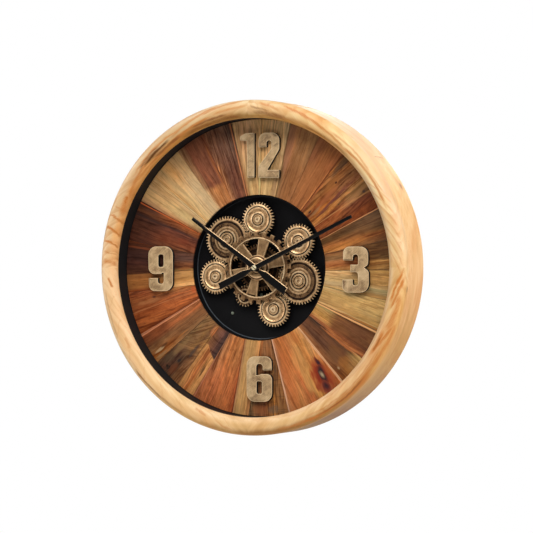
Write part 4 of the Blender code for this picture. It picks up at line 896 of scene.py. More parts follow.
def build_rim():
    mid_r, mid_y = (RIM_LIP_R + RIM_R) / 2, (RIM_LIP_Y + RIM_SIDE_Y) / 2
    ra, ry = (RIM_R - RIM_LIP_R) / 2, mid_y - RIM_FRONT
    prof = []
    for k in range(29):
        t = math.pi * k / 28
        prof.append((mid_r - ra * math.cos(t), mid_y - ry * math.sin(t)))
    layer_y = -4.0
    prof += [(RIM_R, y) for y in (-23.0, -16.0, -10.0, layer_y, 4.0, 12.0, 20.0, 28.0, 35.0, 40.0)]
    prof += [(RIM_R - 2.3 * (1 - math.cos(math.pi / 2 * k / 4)), RIM_BACK - 2.3 * (1 - math.sin(math.pi / 2 * k / 4)))
             for k in range(1, 5)]
    prof += [(260.0, RIM_BACK), (252.0, RIM_BACK), (RIM_BORE_R + 1.0, RIM_BACK), (RIM_BORE_R, RIM_BACK - 1.0)]
    prof += [(RIM_BORE_R, y) for y in (30.0, 15.0, layer_y, -15.0, -24.0, RIM_LIP_Y + 1.6)]
    prof += [(RIM_LIP_R + 0.5, RIM_LIP_Y + 1.6), (RIM_LIP_R, RIM_LIP_Y + 1.0)]
    m = len(prof)
    run = [0.0]
    for p, q in zip(prof, prof[1:] + prof[:1]):
        run.append(run[-1] + math.hypot(q[0] - p[0], q[1] - p[1]))
    n = 360
    verts = []
    for i in range(n):
        x, z = polar(1.0, i)
        verts += [(r * x, y, r * z) for r, y in prof]
    faces, gr, rav = [], [], []
    front_at, back_at = (0, 90, 180, 270), (49, 139, 229, 319)
    # heart of the tree that each board was cut from, across and in depth
    front_pith = [(-42.0, 30.0, 0.10), (-30.0, 46.0, -0.16), (-58.0, 22.0, 0.08), (36.0, 34.0, 0.24)]
    back_pith = [(-60.0, -20.0, 0.05), (-48.0, 64.0, -0.06), (-70.0, 10.0, 0.08), (-52.0, 58.0, -0.04)]
    for i in range(n):
        for j in range(m):
            j2 = (j + 1) % m
            y_mid = (prof[j][1] + prof[j2][1]) / 2
            front = y_mid < layer_y
            starts = front_at if front else back_at
            q = max(k for k in range(4) if (i - starts[0]) % 360 >= k * 90)
            centre = math.radians(starts[0] + 90 * q + 45)
            radial = (math.sin(centre), math.cos(centre))
            tangent = (math.cos(centre), -math.sin(centre))
            a0, d0, tilt = (front_pith if front else back_pith)[q]
            faces.append((i * m + j, ((i + 1) % n) * m + j, ((i + 1) % n) * m + j2, i * m + j2))
            for ii, jj, pos in ((i, j, run[j]), (i + 1, j, run[j]), (i + 1, j2, run[j + 1]), (i, j2, run[j + 1])):
                x, y, z = verts[(ii % n) * m + jj]
                al = x * tangent[0] + z * tangent[1]
                ac = x * radial[0] + z * radial[1] - 225.0
                gr.append((al, ac - a0 + tilt * al, y - d0))
                rav.append((float(ii), pos, q + (0.0 if front else 4.0)))
    me = bpy.data.meshes.new("rim_wood")
    me.from_pydata([(x * MM, y * MM, z * MM) for x, y, z in verts], [], faces)
    for key, values in (("gr", gr), ("ra", rav)):
        att = me.attributes.new(key, "FLOAT_VECTOR", "CORNER")
        att.data.foreach_set("vector", np.asarray(values, np.float32).ravel())
    ob = bpy.data.objects.new("rim_wood", me)
    bpy.context.scene.collection.objects.link(ob)
    me.flip_normals()
    carve(ob, solid_box("pocket", (-26.4, 26.4), (40.3, 50.0), (248.1, 264.9), 0.0))
    room = spun("head_room", [(0.0, 32.0, 0), (6.5, 32.0, 0), (6.5, 41.4, 0), (0.0, 41.4, 0)], [], 32, (0.0, 255.0))
    carve(ob, room)
    remat(ob, [rim_material()], 30.0)
    return place(ob, "case", "pine", "rim")


# ------------------------------------------------------------------ metals
def bronze_material():
    """Antique bronze paint, dark in the hollows and rubbed bright on edges."""
    M = Mat("antique_bronze")
    r, wear, dep = M.parts(M.attr("rw"))
    O = object_coord(M)
    blot = M.noise(O, 0.11, 3.0, 0.6)
    spec = M.noise(O, 0.9, 2.0, 0.6)
    rings = M.noise(M.vec(M.m("MULTIPLY", r, 0.9), 0.0, M.m("MULTIPLY", dep, 0.6)), 1.0, 2.0, 0.55)
    stain = M.smooth(M.noise(O, 0.22, 3.0, 0.65), .50, .64)
    k = M.m("ADD", wear, M.m("ADD", M.m("MULTIPLY", M.m("SUBTRACT", rings, .5), 0.5),
                             M.m("ADD", M.m("MULTIPLY", M.m("SUBTRACT", blot, .5), 0.5),
                                 M.m("MULTIPLY", M.m("SUBTRACT", spec, .5), 0.4))))
    k = M.m("SUBTRACT", k, M.m("MULTIPLY", stain, 0.26))
    col = M.ramp(k, [(0.0, (22, 15, 12)), (0.24, (78, 52, 34)), (0.5, (160, 120, 80)), (0.75, (222, 178, 128)), (1.0, (255, 224, 178))])
    M.bump(M.m("ADD", M.m("MULTIPLY", rings, 0.7), M.m("MULTIPLY", spec, 0.3)), 0.25, 0.0004)
    rough = M.m("MULTIPLY_ADD", spec, 0.2, 0.28)
    return M.finish(col, rough, 0.62)


def shaded_bronze_material():
    # painted shade: a darker copy of the antique bronze, for the gear that lies in shade behind the open wheel
    M = Mat("shaded_bronze")
    r, wear, dep = M.parts(M.attr("rw"))
    O = object_coord(M)
    spec = M.noise(O, 0.5, 3.0, 0.6)
    k = M.m("ADD", wear, M.m("MULTIPLY", M.m("SUBTRACT", spec, .5), 0.6))
    col = M.ramp(k, [(0.0, (24, 18, 14)), (0.4, (74, 52, 34)), (0.75, (140, 104, 70)), (1.0, (196, 156, 112))])
    M.bump(spec, 0.2, 0.0004)
    return M.finish(col, M.m("MULTIPLY_ADD", spec, 0.2, 0.34), 0.8)


def leaf_material():
    """Face of the numerals: brushed metal leaf, worn pale along its edges."""
    M = Mat("numeral_leaf")
    ed, dist, _ = M.parts(M.attr("ed"))
    O = object_coord(M)
    x, y, z = M.parts(O)
    u = M.m("ADD", M.m("MULTIPLY", x, 0.78), M.m("MULTIPLY", z, 0.62))
    v = M.m("SUBTRACT", M.m("MULTIPLY", z, 0.78), M.m("MULTIPLY", x, 0.62))
    strokes = M.noise(M.vec(M.m("MULTIPLY", u, 0.07), 0.0, M.m("MULTIPLY", v, 0.75)), 1.0, 3.0, 0.6, 0.4)
    up = M.noise(M.vec(M.m("MULTIPLY", x, 0.9), 3.0, M.m("MULTIPLY", z, 0.08)), 1.0, 3.0, 0.6, 0.3)
    blot = M.noise(O, 0.055, 3.0, 0.62, 0.6)
    grit = M.noise(O, 1.4, 2.0, 0.6)
    k = M.m("ADD", M.m("MULTIPLY", blot, 0.55), M.m("ADD", M.m("MULTIPLY", strokes, 0.22),
            M.m("ADD", M.m("MULTIPLY", up, 0.13), M.m("MULTIPLY", grit, 0.10))))
    col = M.ramp(k, [(0.34, (116, 90, 62)), (0.43, (160, 128, 92)), (0.5, (196, 163, 120)), (0.57, (214, 182, 138)), (0.68, (230, 202, 158))])
    edge = M.smooth(M.m("ADD", ed, M.m("MULTIPLY", M.m("SUBTRACT", grit, .5), 0.5)), 0.35, 0.95)
    col = M.mix(M.m("MULTIPLY", edge, 0.8), col, lin((242, 212, 166)))
    M.bump(M.m("ADD", M.m("MULTIPLY", strokes, 0.5), M.m("MULTIPLY", grit, 0.5)), 0.3, 0.0005)
    return M.finish(col, M.m("MULTIPLY_ADD", strokes, 0.2, 0.36), 0.22)


def black_paint(name, base, rough, speck=0.5, scale=0.6, metal=0.0, light=2.4):
    M = Mat(name)
    O = object_coord(M)
    n1 = M.noise(O, scale, 3.0, 0.65)
    n2 = M.noise(O, scale * 0.08, 2.0, 0.5)
    c = lin(base)[:3]
    col = M.mix(M.smooth(n1, .42, .72, 0.0, speck), (*c, 1.0), (*[min(1.0, v * light) for v in c], 1.0))
    col = M.mix(M.smooth(n2, .4, .65, 0.0, 0.25), col, (*[v * 0.7 for v in c], 1.0))
    M.bump(n1, 0.18, 0.0003)
    return M.finish(col, M.m("MULTIPLY_ADD", n1, 0.22, rough), metal, Specular_IOR_Level=0.12)


def brushed(name, lo, hi, rough, scale=0.8, metal=1.0):
    M = Mat(name)
    O = object_coord(M)
    n1 = M.noise(O, scale, 3.0, 0.6)
    n2 = M.noise(O, scale * 0.2, 2.0, 0.5)
    col = M.ramp(M.m("ADD", M.m("MULTIPLY", n1, 0.6), M.m("MULTIPLY", n2, 0.4)), [(0.35, lo), (0.65, hi)])
    M.bump(n1, 0.12, 0.0002)
    return M.finish(col, M.m("MULTIPLY_ADD", n1, 0.2, rough), metal)


def board_material():
    M = Mat("fibreboard")
    O = object_coord(M)
    n1 = M.noise(O, 0.9, 4.0, 0.7)
    n2 = M.noise(O, 0.03, 3.0, 0.6)
    flecks = M.noise(O, 2.6, 2.0, 0.6)
    col = M.ramp(M.m("ADD", M.m("MULTIPLY", n1, 0.55), M.m("MULTIPLY", n2, 0.45)),
                 [(0.35, (122, 90, 60)), (0.5, (150, 114, 78)), (0.66, (174, 138, 98))])
    col = M.mix(M.smooth(flecks, .6, .75, 0.0, .5), col, lin((92, 66, 44)))
    M.bump(n1, 0.3, 0.0005)
    return M.finish(col, M.m("MULTIPLY_ADD", n1, 0.15, 0.72))


def plastic_material():
    M = Mat("moulded_plastic")
    O = object_coord(M)
    n1 = M.noise(O, 2.2, 2.0, 0.6)
    n2 = M.noise(O, 0.05, 2.0, 0.5)
    col = M.ramp(M.m("ADD", M.m("MULTIPLY", n1, 0.5), M.m("MULTIPLY", n2, 0.5)), [(0.4, (32, 32, 34)), (0.62, (46, 46, 49))])
    M.bump(n1, 0.2, 0.0002)
    return M.finish(col, M.m("MULTIPLY_ADD", n1, 0.2, 0.38))


def cell_material():
    """Cell sleeve: a plain coloured body with a darker band at one end."""
    M = Mat("cell_sleeve")
    O = object_coord(M)
    x, y, z = M.parts(M.attr("rw"))
    n1 = M.noise(O, 0.6, 2.0, 0.5)
    col = M.mix(M.smooth(z, 36.4, 36.8), lin((38, 96, 62)), lin((196, 160, 84)))
    col = M.mix(M.m("MULTIPLY", n1, 0.25), col, lin((20, 40, 30)))
    return M.finish(col, M.m("MULTIPLY_ADD", n1, 0.15, 0.25), 0.1)


BRONZE = bronze_material()
SHADED = shaded_bronze_material()
LEAF = leaf_material()
NUMERAL_SIDE = black_paint("numeral_side", (30, 28, 28), 0.42, 0.6, 0.5)
BLACK_STEEL = black_paint("black_steel", (32, 31, 32), 0.42, 0.35, 0.9, light=1.8)
HAND_FACE = black_paint("hand_face", (7, 6, 6), 0.5, 0.5, 1.2, light=3.0)


def tray_material():
    M = Mat("tray_black")
    O = object_coord(M)
    x, y, z = M.parts(O)
    r = M.vm("LENGTH", M.vec(x, 0.0, z))
    n1 = M.noise(O, 1.1, 3.0, 0.65)
    n2 = M.noise(O, 0.09, 2.0, 0.5)
    col = M.mix(M.smooth(n1, .42, .72, 0.0, 0.8), lin((10, 9, 11)), lin((17, 16, 18)))
    col = M.mix(M.smooth(n2, .4, .65, 0.0, 0.25), col, lin((7, 7, 8)))
    # painted highlight: a pale grey sheen along the rounded corner at the floor of the tray, strongest towards the
    # bottom of the clock
    fillet_highlight = M.m("MULTIPLY", M.smooth(r, 114.4, 115.0), M.m("MULTIPLY", M.smooth(y, 11.9, 12.7), M.smooth(y, 14.5, 14.0)))
    fillet_highlight = M.m("MULTIPLY", fillet_highlight, M.smooth(z, 70.0, -30.0, 0.25, 1.0))
    col = M.mix(M.m("MULTIPLY", fillet_highlight, M.smooth(n1, .3, .6, 0.55, 0.9)), col, lin((84, 90, 96)))
    M.bump(n1, 0.18, 0.0003)
    return M.finish(col, M.m("MULTIPLY_ADD", n1, 0.22, 0.55), 0.0, Specular_IOR_Level=0.12)


TRAY_BLACK = tray_material()


def hand_edge_highlight_material(name, deg, side):
    """Gold edge of a hand that points to deg: its own gold bevel, kept only along
    the upper long edge as a painted highlight where the light from above falls,
    fading to black towards the ends and on the other edge."""
    M = Mat(name)
    O = object_coord(M)
    x, y, z = M.parts(O)
    a = math.radians(deg)
    away = M.vm("LENGTH", M.vec(x, 0.0, z))
    across = M.m("MULTIPLY_ADD", x, side * math.cos(a), M.m("MULTIPLY", z, -side * math.sin(a)))
    n1 = M.noise(O, 0.25, 3.0, 0.6)
    gold = M.ramp(n1, [(0.34, (176, 132, 88)), (0.6, (244, 208, 160))])
    black = M.ramp(n1, [(0.3, (5, 4, 4)), (0.7, (12, 10, 10))])
    fade = M.smooth(M.m("ADD", away, M.m("MULTIPLY", n1, 20.0)), 128.0, 112.0)
    # painted highlight: gold only on the upper edge, black on the lower one
    upper_edge_highlight = M.m("MULTIPLY", fade, M.smooth(across, -0.6, 0.8, 0.04, 1.0))
    col = M.mix(upper_edge_highlight, black, gold)
    M.bump(n1, 0.1, 0.0002)
    return M.finish(col, M.m("MULTIPLY_ADD", n1, 0.2, 0.3), 0.3, Specular_IOR_Level=0.3)


HOUR_EDGE_HIGHLIGHT = hand_edge_highlight_material("hour_hand_edge_highlight", HOUR_ANGLE, 1.0)
MINUTE_EDGE_HIGHLIGHT = hand_edge_highlight_material("minute_hand_edge_highlight", MINUTE_ANGLE, -1.0)
BRASS = brushed("pale_brass", (214, 188, 132), (250, 234, 194), 0.24, 1.0, 0.5)
NUT = brushed("nut_brass", (236, 214, 160), (255, 246, 214), 0.30, 1.0, 0.35)
# painted shade for the inside of the nut's slot
NUT_SLOT_SHADE = brushed("nut_slot_shade", (44, 34, 22), (74, 58, 38), 0.5, 1.0, 0.3)
ZINC = brushed("dull_zinc", (104, 112, 98), (158, 166, 148), 0.42, 1.6, 0.4)
STEEL = brushed("zinc_steel", (150, 152, 150), (196, 198, 196), 0.30, 0.7)
FIBRE = board_material()
PLASTIC = plastic_material()
CELL = cell_material()


# ------------------------------------------------------------------ gear train
def pitch_radius(teeth):
    return MODULE * teeth / 2


def spacing(a, b):
    return pitch_radius(a) + pitch_radius(b)


def meshed(first, teeth, direction, teeth_2):
    step, step_2 = 360.0 / teeth, 360.0 / teeth_2
    share = ((direction - first) / step) % 1.0
    return direction + 180.0 - step_2 * (0.5 - share)


FINE_TOOTH = [(-0.5, 0.0, .1), (-0.385, 0.0, .1), (-0.30, 0.0, .15), (-0.265, 0.05, .3), (-0.2, 0.42, .6), (-0.14, 0.80, .85),
              (-0.105, 0.97, 1.0), (-0.05, 1.0, 1.0), (0.05, 1.0, 1.0), (0.105, 0.97, 1.0), (0.14, 0.80, .85), (0.2, 0.42, .6),
              (0.265, 0.05, .3), (0.30, 0.0, .15), (0.385, 0.0, .1)]
BLOCK_TOOTH = [(-0.5, 0.0, .45), (-0.39, 0.0, .4), (-0.305, 0.0, .4), (-0.272, 0.02, .5), (-0.255, 0.27, .6), (-0.236, 0.66, .8),
               (-0.224, 0.92, 1.0), (-0.195, 1.0, 1.0), (-0.09, 1.0, 1.0), (0.0, 1.0, 1.0), (0.09, 1.0, 1.0), (0.195, 1.0, 1.0),
               (0.224, 0.92, 1.0), (0.236, 0.66, .8), (0.255, 0.27, .6), (0.272, 0.02, .5), (0.305, 0.0, .4), (0.39, 0.0, .4)]


def teeth_outline(teeth, first_deg, root, tip, shape):
    """Angles in radians, and (radius, wear) of the outline at each."""
    step = 2 * math.pi / teeth
    angles, rows = [], []
    for k in range(teeth):
        for f, h, w in shape:
            angles.append(math.radians(first_deg) + (k + f) * step)
            rows.append((root + (tip - root) * h, w))
    return angles, rows


def toothed(name, centre, teeth, first, face, back, body, slot, node, mats, sharp=34.0):
    """Fine-tooth gear: turned face, teeth, flat back and arbor."""
    tip = pitch_radius(teeth) + 0.95 * MODULE
    root = pitch_radius(teeth) - 1.20 * MODULE
    angles, rows = teeth_outline(teeth, first, root, tip, FINE_TOOTH)
    prof = face + [(-0.55, 4.05, 1.0, 1), (-0.1, 4.5, 0.95, 1), (0.0, 5.0, 0.6, 1), (0.0, 8.6, 0.3, 1), (-0.4, 9.0, 0.3, 1)] + back
    ob = spun(name, prof, mats, centre=centre, angles=angles, outline=rows, sharp=sharp)
    return place(ob, body, slot, node)


def arbor(end):
    return [(6.0, 9.0, .3), (4.0, 9.0, .3), (4.0, 13.2, .3), (1.5, 13.2, .4), (1.5, end, .4), (0.0, end, .4)]


SMALL_FACE = [
    (0.0, 1.75, .7), (0.6, 1.7, .7), (1.2, 1.3, .30), (1.7, 1.3, .45), (2.3, 0.9, .95), (4.6, 0.85, .9), (5.1, 1.1, .7), (5.5, 1.55, .35),
    (6.0, 1.5, .72), (7.8, 1.5, .86), (8.3, 1.9, .7), (8.5, 3.6, .04), (9.6, 3.7, .0), (10.0, 2.9, .75), (10.8, 2.8, 1.0),
    (12.2, 3.5, .84), (14.2, 4.1, .66), (16.5, 4.1, .70), (18.5, 3.2, .78), (19.6, 2.42, .92), (20.1, 2.6, .8), (20.4, 3.7, .05),
    (21.4, 3.8, .0), (21.8, 3.0, .9), (22.6, 2.9, .98), (23.6, 3.3, .80), (24.6, 3.75, .7)]
LARGE_FACE = [
    (0.0, 1.70, .7), (0.7, 1.6, .7), (1.5, 1.2, .30), (2.1, 1.1, .5), (2.7, 0.9, .9), (6.8, 0.80, .8), (7.3, 1.2, .7), (7.6, 2.4, .08),
    (8.4, 2.5, .0), (8.8, 1.8, .8), (10.6, 1.7, .84), (11.4, 2.0, .8), (11.8, 3.1, .0), (13.2, 3.2, .0), (13.6, 2.3, .85), (14.8, 2.1, 1.0),
    (16.6, 2.6, .70), (17.2, 2.8, .15), (17.8, 2.6, .5), (19.6, 2.42, .86), (21.6, 2.5, .60), (22.2, 2.85, .10), (23.0, 2.7, .36), (24.4, 2.64, .5), (26.2, 2.6, .34),
    (26.8, 2.7, .60), (27.2, 3.2, .10), (28.2, 3.3, .14), (30.4, 3.4, .20), (30.8, 3.3, .66), (31.8, 3.15, .92), (33.4, 3.4, .74), (34.2, 3.8, .66)]
PINION_FACE = [
    (0.0, 3.7, .4), (2.0, 3.7, .4), (2.6, 3.4, .7), (4.4, 3.4, .6), (5.0, 4.0, .3), (8.6, 4.2, .06), (9.4, 3.6, .5), (9.8, 2.9, .9), (11.0, 2.8, .95),
    (11.8, 3.0, .9), (12.2, 3.7, .5), (13.2, 4.0, .4)]


def build_gears():
    C, L, S, P = 46, TEETH_LARGE, TEETH_SMALL, TEETH_PINION
    axis = (0.0, 0.0)
    ll, lr = towards(axis, spacing(C, L), 141.5), towards(axis, spacing(C, L), -17.1)
    st, sl = towards(ll, spacing(L, S), 30.2), towards(ll, spacing(L, S), -108.9)
    sr, sb = towards(lr, spacing(L, S), 91.3), towards(lr, spacing(L, S), -134.2)
    pn = towards(axis, spacing(C, P), -119.0)
    fc = 90.0
    fll, flr = meshed(fc, C, 141.5, L), meshed(fc, C, -17.1, L)
    rows = [("gear_large_left", ll, L, fll, LARGE_FACE), ("gear_large_right", lr, L, flr, LARGE_FACE),
            ("gear_small_top", st, S, meshed(fll, L, 30.2, S), SMALL_FACE),
            ("gear_small_left", sl, S, meshed(fll, L, -108.9, S), SMALL_FACE),
            ("gear_small_right", sr, S, meshed(flr, L, 91.3, S), SMALL_FACE),
            ("gear_small_bottom", sb, S, meshed(flr, L, -134.2, S), SMALL_FACE)]
    for name, at, teeth, first, face in rows:
        toothed(name + "_turned", at, teeth, first, face, arbor(15.5), name, "bronze", name, [BRONZE])
    toothed("drive_pinion_turned", pn, P, meshed(fc, C, -119.0, P), PINION_FACE, arbor(24.0),
            "drive_pinion", "bronze", "drive_pinion", [BRONZE])

    # fine gear behind the open wheel, with a ring face and a bored middle
    tip, root = pitch_radius(C) + 0.95 * MODULE, pitch_radius(C) - 1.2 * MODULE
    angles, out = teeth_outline(C, fc, root, tip, FINE_TOOTH)
    prof = [(4.6, 4.4, .3), (5.0, 4.0, .5), (9.0, 4.0, .4), (9.6, 4.6, .1), (19.0, 4.8, .1), (19.6, 4.2, .4), (26.0, 4.2, .4),
            (26.6, 4.8, .1), (31.0, 4.8, .12), (31.6, 4.1, .5), (33.6, 4.05, .5),
            (-0.55, 4.05, .9, 1), (-0.1, 4.5, .85, 1), (0.0, 5.0, .5, 1), (0.0, 8.6, .3, 1), (-0.4, 9.0, .3, 1), (5.0, 9.0, .3), (4.6, 8.6, .3)]
    # painted shade: this gear takes the darker shaded bronze
    ob = spun("centre_gear_turned", prof, [SHADED], angles=angles, outline=out, loop=True)
    place(ob, "centre_wheel", "bronze", "centre_gear")

    # open wheel: toothed ring
    first = 90.0 + 2.0
    angles, out = teeth_outline(24, first, 53.4, 58.8, BLOCK_TOOTH)
    prof = [(47.0, -3.7, .8), (47.35, -4.3, .95), (47.9, -4.5, 1.0), (48.7, -4.5, .95), (49.1, -4.15, .5), (50.0, -4.05, .42), (52.4, -4.05, .5),
            (-0.9, -4.05, .62, 1), (-0.35, -3.95, 1.0, 1), (0.0, -3.45, .9, 1), (0.0, -2.0, .5, 1), (0.0, 0.1, .3, 1), (-0.4, 0.5, .3, 1),
            (48.0, 0.5, .3), (47.0, 0.0, .3), (47.0, -1.8, .25)]
    ob = spun("wheel_ring", prof, [BRONZE], angles=angles, outline=out, loop=True, sharp=36.0)
    place(ob, "centre_wheel", "bronze", "centre_wheel")
    # spokes, flared outwards and let into the ring
    for k in range(6):
        a = 14.0 + 60.0 * k
        along, across = Vector(polar(1.0, a)), Vector(polar(1.0, a + 90.0))
        pts = []
        for r, w in ((19.0, -6.6), (30.0, -7.9), (40.0, -9.1), (46.4, -9.95), (47.3, -10.0), (47.3, 10.0), (46.4, 9.95), (40.0, 9.1), (30.0, 7.9), (19.0, 6.6)):
            p = along * r + across * w
            pts.append((p.x, p.y))
        ob = plate("wheel_spoke_%d" % (k + 1), [pts], -3.0, 0.2, [SPOKE, SPOKE], bevel=0.7, band=2.0, steps=3, parts=(0, 0, 0))
        place(ob, "centre_wheel", "bronze")
    # hub: flange, cone, collar and a turned face
    prof = [(4.6, -7.2, .5), (5.0, -7.7, .8), (7.4, -7.9, .7), (8.2, -7.5, .6), (8.6, -6.9, .1), (9.4, -6.9, .08), (9.9, -7.5, .7), (13.6, -8.0, .68), (15.6, -7.9, .8), (16.8, -7.2, .95),
            (17.3, -6.2, .6), (17.5, -5.4, .35), (17.9, -4.9, .1), (18.4, -4.7, .3), (19.9, -4.6, .95), (20.5, -4.0, .9), (20.5, 0.5, .3), (20.0, 0.9, .3),
            (10.0, 0.9, .3), (10.0, 3.7, .3), (5.0, 3.7, .3), (4.6, 3.2, .3)]
    ob = spun("wheel_hub", prof, [BRONZE], n=96, loop=True)
    place(ob, "centre_wheel", "bronze")
    return pn, rows


def spoke_material():
    M = Mat("spoke_bronze")
    ed, dist, _ = M.parts(M.attr("ed"))
    O = object_coord(M)
    blot = M.noise(O, 0.12, 3.0, 0.62)
    grit = M.noise(O, 1.1, 2.0, 0.6)
    k = M.m("ADD", M.m("MULTIPLY_ADD", ed, 0.28, 0.50), M.m("ADD", M.m("MULTIPLY", M.m("SUBTRACT", blot, .5), 0.7),
            M.m("MULTIPLY", M.m("SUBTRACT", grit, .5), 0.4)))
    col = M.ramp(k, [(0.0, (44, 30, 22)), (0.3, (118, 86, 58)), (0.55, (182, 142, 98)), (0.8, (222, 182, 134)), (1.0, (252, 220, 172))])
    M.bump(grit, 0.25, 0.0004)
    return M.finish(col, M.m("MULTIPLY_ADD", grit, 0.2, 0.30), 0.5)


SPOKE = spoke_material()

# ------------------------------------------------------------------ numerals
ONE = [(-4.0, 38.0, 0), (-3.8, -34.0, 0), (-16.4, -34.0, 0), (-17.4, 25.6, 0),
       (-29.5, 26.4, 0), (-29.5, 33.0, 3), (-19.0, 38.0, 6)]
TWO = [(3.4, -34.6, 0), (40.0, -35.4, 0), (40.0, -22.6, 0), (19.0, -22.4, 0),
       (40.3, 11.0, 12), (40.3, 38.3, 15), (4.2, 37.5, 14), (3.6, 14.6, 0),
       (17.6, 14.6, 0), (17.6, 25.2, 4), (26.6, 25.2, 4), (26.2, 12.0, 6),
       (3.4, -16.0, 9)]
THREE = [(-19.4, 11.6, 0), (-19.4, 33.4, 12), (23.6, 33.4, 13), (23.6, 4.5, 6),
         (16.6, 0.0, 0), (24.6, -6.0, 7), (24.6, -39.6, 14), (-21.0, -39.6, 14),
         (-21.0, -19.0, 0), (-3.0, -19.0, 0), (-3.0, -28.4, 4), (6.2, -28.4, 4),
         (6.2, -7.2, 4), (-7.0, -7.2, 0), (-7.0, 4.6, 0), (6.4, 4.6, 2.5),
         (6.4, 20.8, 4), (-2.6, 20.8, 4), (-2.6, 11.6, 0)]
SIX = [(-17.6, 36.6, 14), (26.6, 36.6, 14), (27.0, 14.6, 0), (11.0, 14.6, 0),
       (11.0, 24.6, 5), (-0.6, 24.6, 5), (-0.6, 6.2, 0), (3.6, 6.2, 0),
       (8.6, 8.4, 3), (27.4, 8.4, 11), (27.6, -36.6, 14), (-17.6, -36.6, 14)]
SIX_EYE = [(0.1, -23.8, 3), (9.6, -23.8, 3), (9.6, -3.4, 3), (0.1, -3.4, 3)]
NINE = [(-22.6, -17.0, 0), (-22.0, -38.4, 14), (21.4, -38.4, 14), (21.6, 35.0, 14),
        (-23.8, 35.0, 14), (-23.0, -10.2, 11), (0.6, -10.2, 2), (2.0, -8.2, 0),
        (5.0, -8.2, 0), (5.0, -26.4, 5), (-6.0, -26.4, 5), (-6.0, -17.0, 0)]
NINE_EYE = [(-5.0, 1.2, 3), (4.6, 1.2, 3), (4.6, 22.0, 3), (-5.0, 22.0, 3)]


def build_numerals():
    for name, shapes, (cx, cz) in (
            ("numeral_12_one", [ONE], (0.0, 180.0)), ("numeral_12_two", [TWO], (0.0, 180.0)),
            ("numeral_3", [THREE], (171.0, 0.0)), ("numeral_6", [SIX, SIX_EYE], (0.0, -180.0)),
            ("numeral_9", [NINE, NINE_EYE], (-173.0, 0.0))):
        loops = [[(x + cx, z + cz) for x, z in rounded(s)] for s in shapes]
        ob = plate(name + "_leaf", loops, -7.0, -0.3, [LEAF, NUMERAL_SIDE], bevel=0.55, band=1.1, steps=3,
                   parts=(0, 0, 1), crown=0.0)
        place(ob, "case", "pewter", name)


# ------------------------------------------------------------------ hands
HOUR_SHAPE = [(139.0, 2.7), (3.0, 5.0), (-3.5, 4.6), (-9.0, 2.8), (-20.0, 6.4), (-66.0, 6.8)]
MIN_SHAPE = [(188.0, 2.5), (3.0, 4.4), (-3.5, 4.1), (-9.0, 2.4), (-22.0, 5.6), (-70.0, 6.0)]


def hand_loop(shape, deg):
    a = math.radians(deg)
    along, across = Vector((math.sin(a), math.cos(a))), Vector((math.cos(a), -math.sin(a)))
    pts = [along * u + across * v for u, v in shape]
    pts += [along * u - across * v for u, v in reversed(shape)]
    return [(p.x, p.y) for p in pts]


def build_hands():
    # hour hand with its pipe
    ob = plate("hour_hand_blade", [hand_loop(HOUR_SHAPE, HOUR_ANGLE), circle(1.85, 40)], -12.6, -10.6,
               [HAND_FACE, HOUR_EDGE_HIGHLIGHT], bevel=1.05, chamfer=0.75, band=0.0, steps=1, parts=(0, 1, 0))
    place(ob, "hour_hand", "hand_black", "hour_hand")
    ob = spun("hour_pipe", [(1.8, -10.6, .5), (2.6, -10.6, .5), (2.6, 23.6, .5), (2.3, 24.0, .5), (1.8, 24.0, .5)], [BRASS], 40, loop=True)
    place(ob, "hour_hand", "hand_black")
    ob = plate("minute_hand_blade", [hand_loop(MIN_SHAPE, MINUTE_ANGLE), circle(1.85, 40)], -15.9, -14.1,
               [HAND_FACE, MINUTE_EDGE_HIGHLIGHT], bevel=1.05, chamfer=0.75, band=0.0, steps=1, parts=(0, 1, 0))
    place(ob, "minute_hand", "hand_black", "minute_hand")
    nut = spun("nut", [(0.0, -18.8, .6), (2.5, -18.75, .6), (3.5, -18.4, .6), (4.0, -17.8, .6), (4.0, -16.5, .6), (3.7, -16.2, .6), (0.0, -16.2, .6)], [NUT], 48)
    nut = carve(nut, solid_box("slot", (-5.0, 5.0), (-20.0, -17.6), (-0.75, 0.75)))
    nut.data.transform(Matrix.Rotation(math.radians(38.0), 4, "Y"))
    nut.name = "hand_nut_slotted"
    remat(nut, [NUT, NUT_SLOT_SHADE], 30.0)
    # painted shade: the faces inside the slot take the darker brass
    for poly in nut.data.polygons:
        c, d = poly.center, Vector((0.788, 0.0, -0.616))
        if abs(c.dot(Vector((d.z, 0.0, -d.x)))) < 0.00076 and c.y > -0.01842 and c.y < -0.0175:
            poly.material_index = 1
    place(nut, "minute_hand", "brass", "hand_nut")
    ob = spun("arbor_thread", [(0.0, -15.9, .5), (1.1, -15.9, .5), (1.45, -15.5, .5), (1.45, 32.3, .5), (0.0, 32.3, .5)], [BRASS], 32)
    place(ob, "minute_hand", "brass", "minute_arbor")


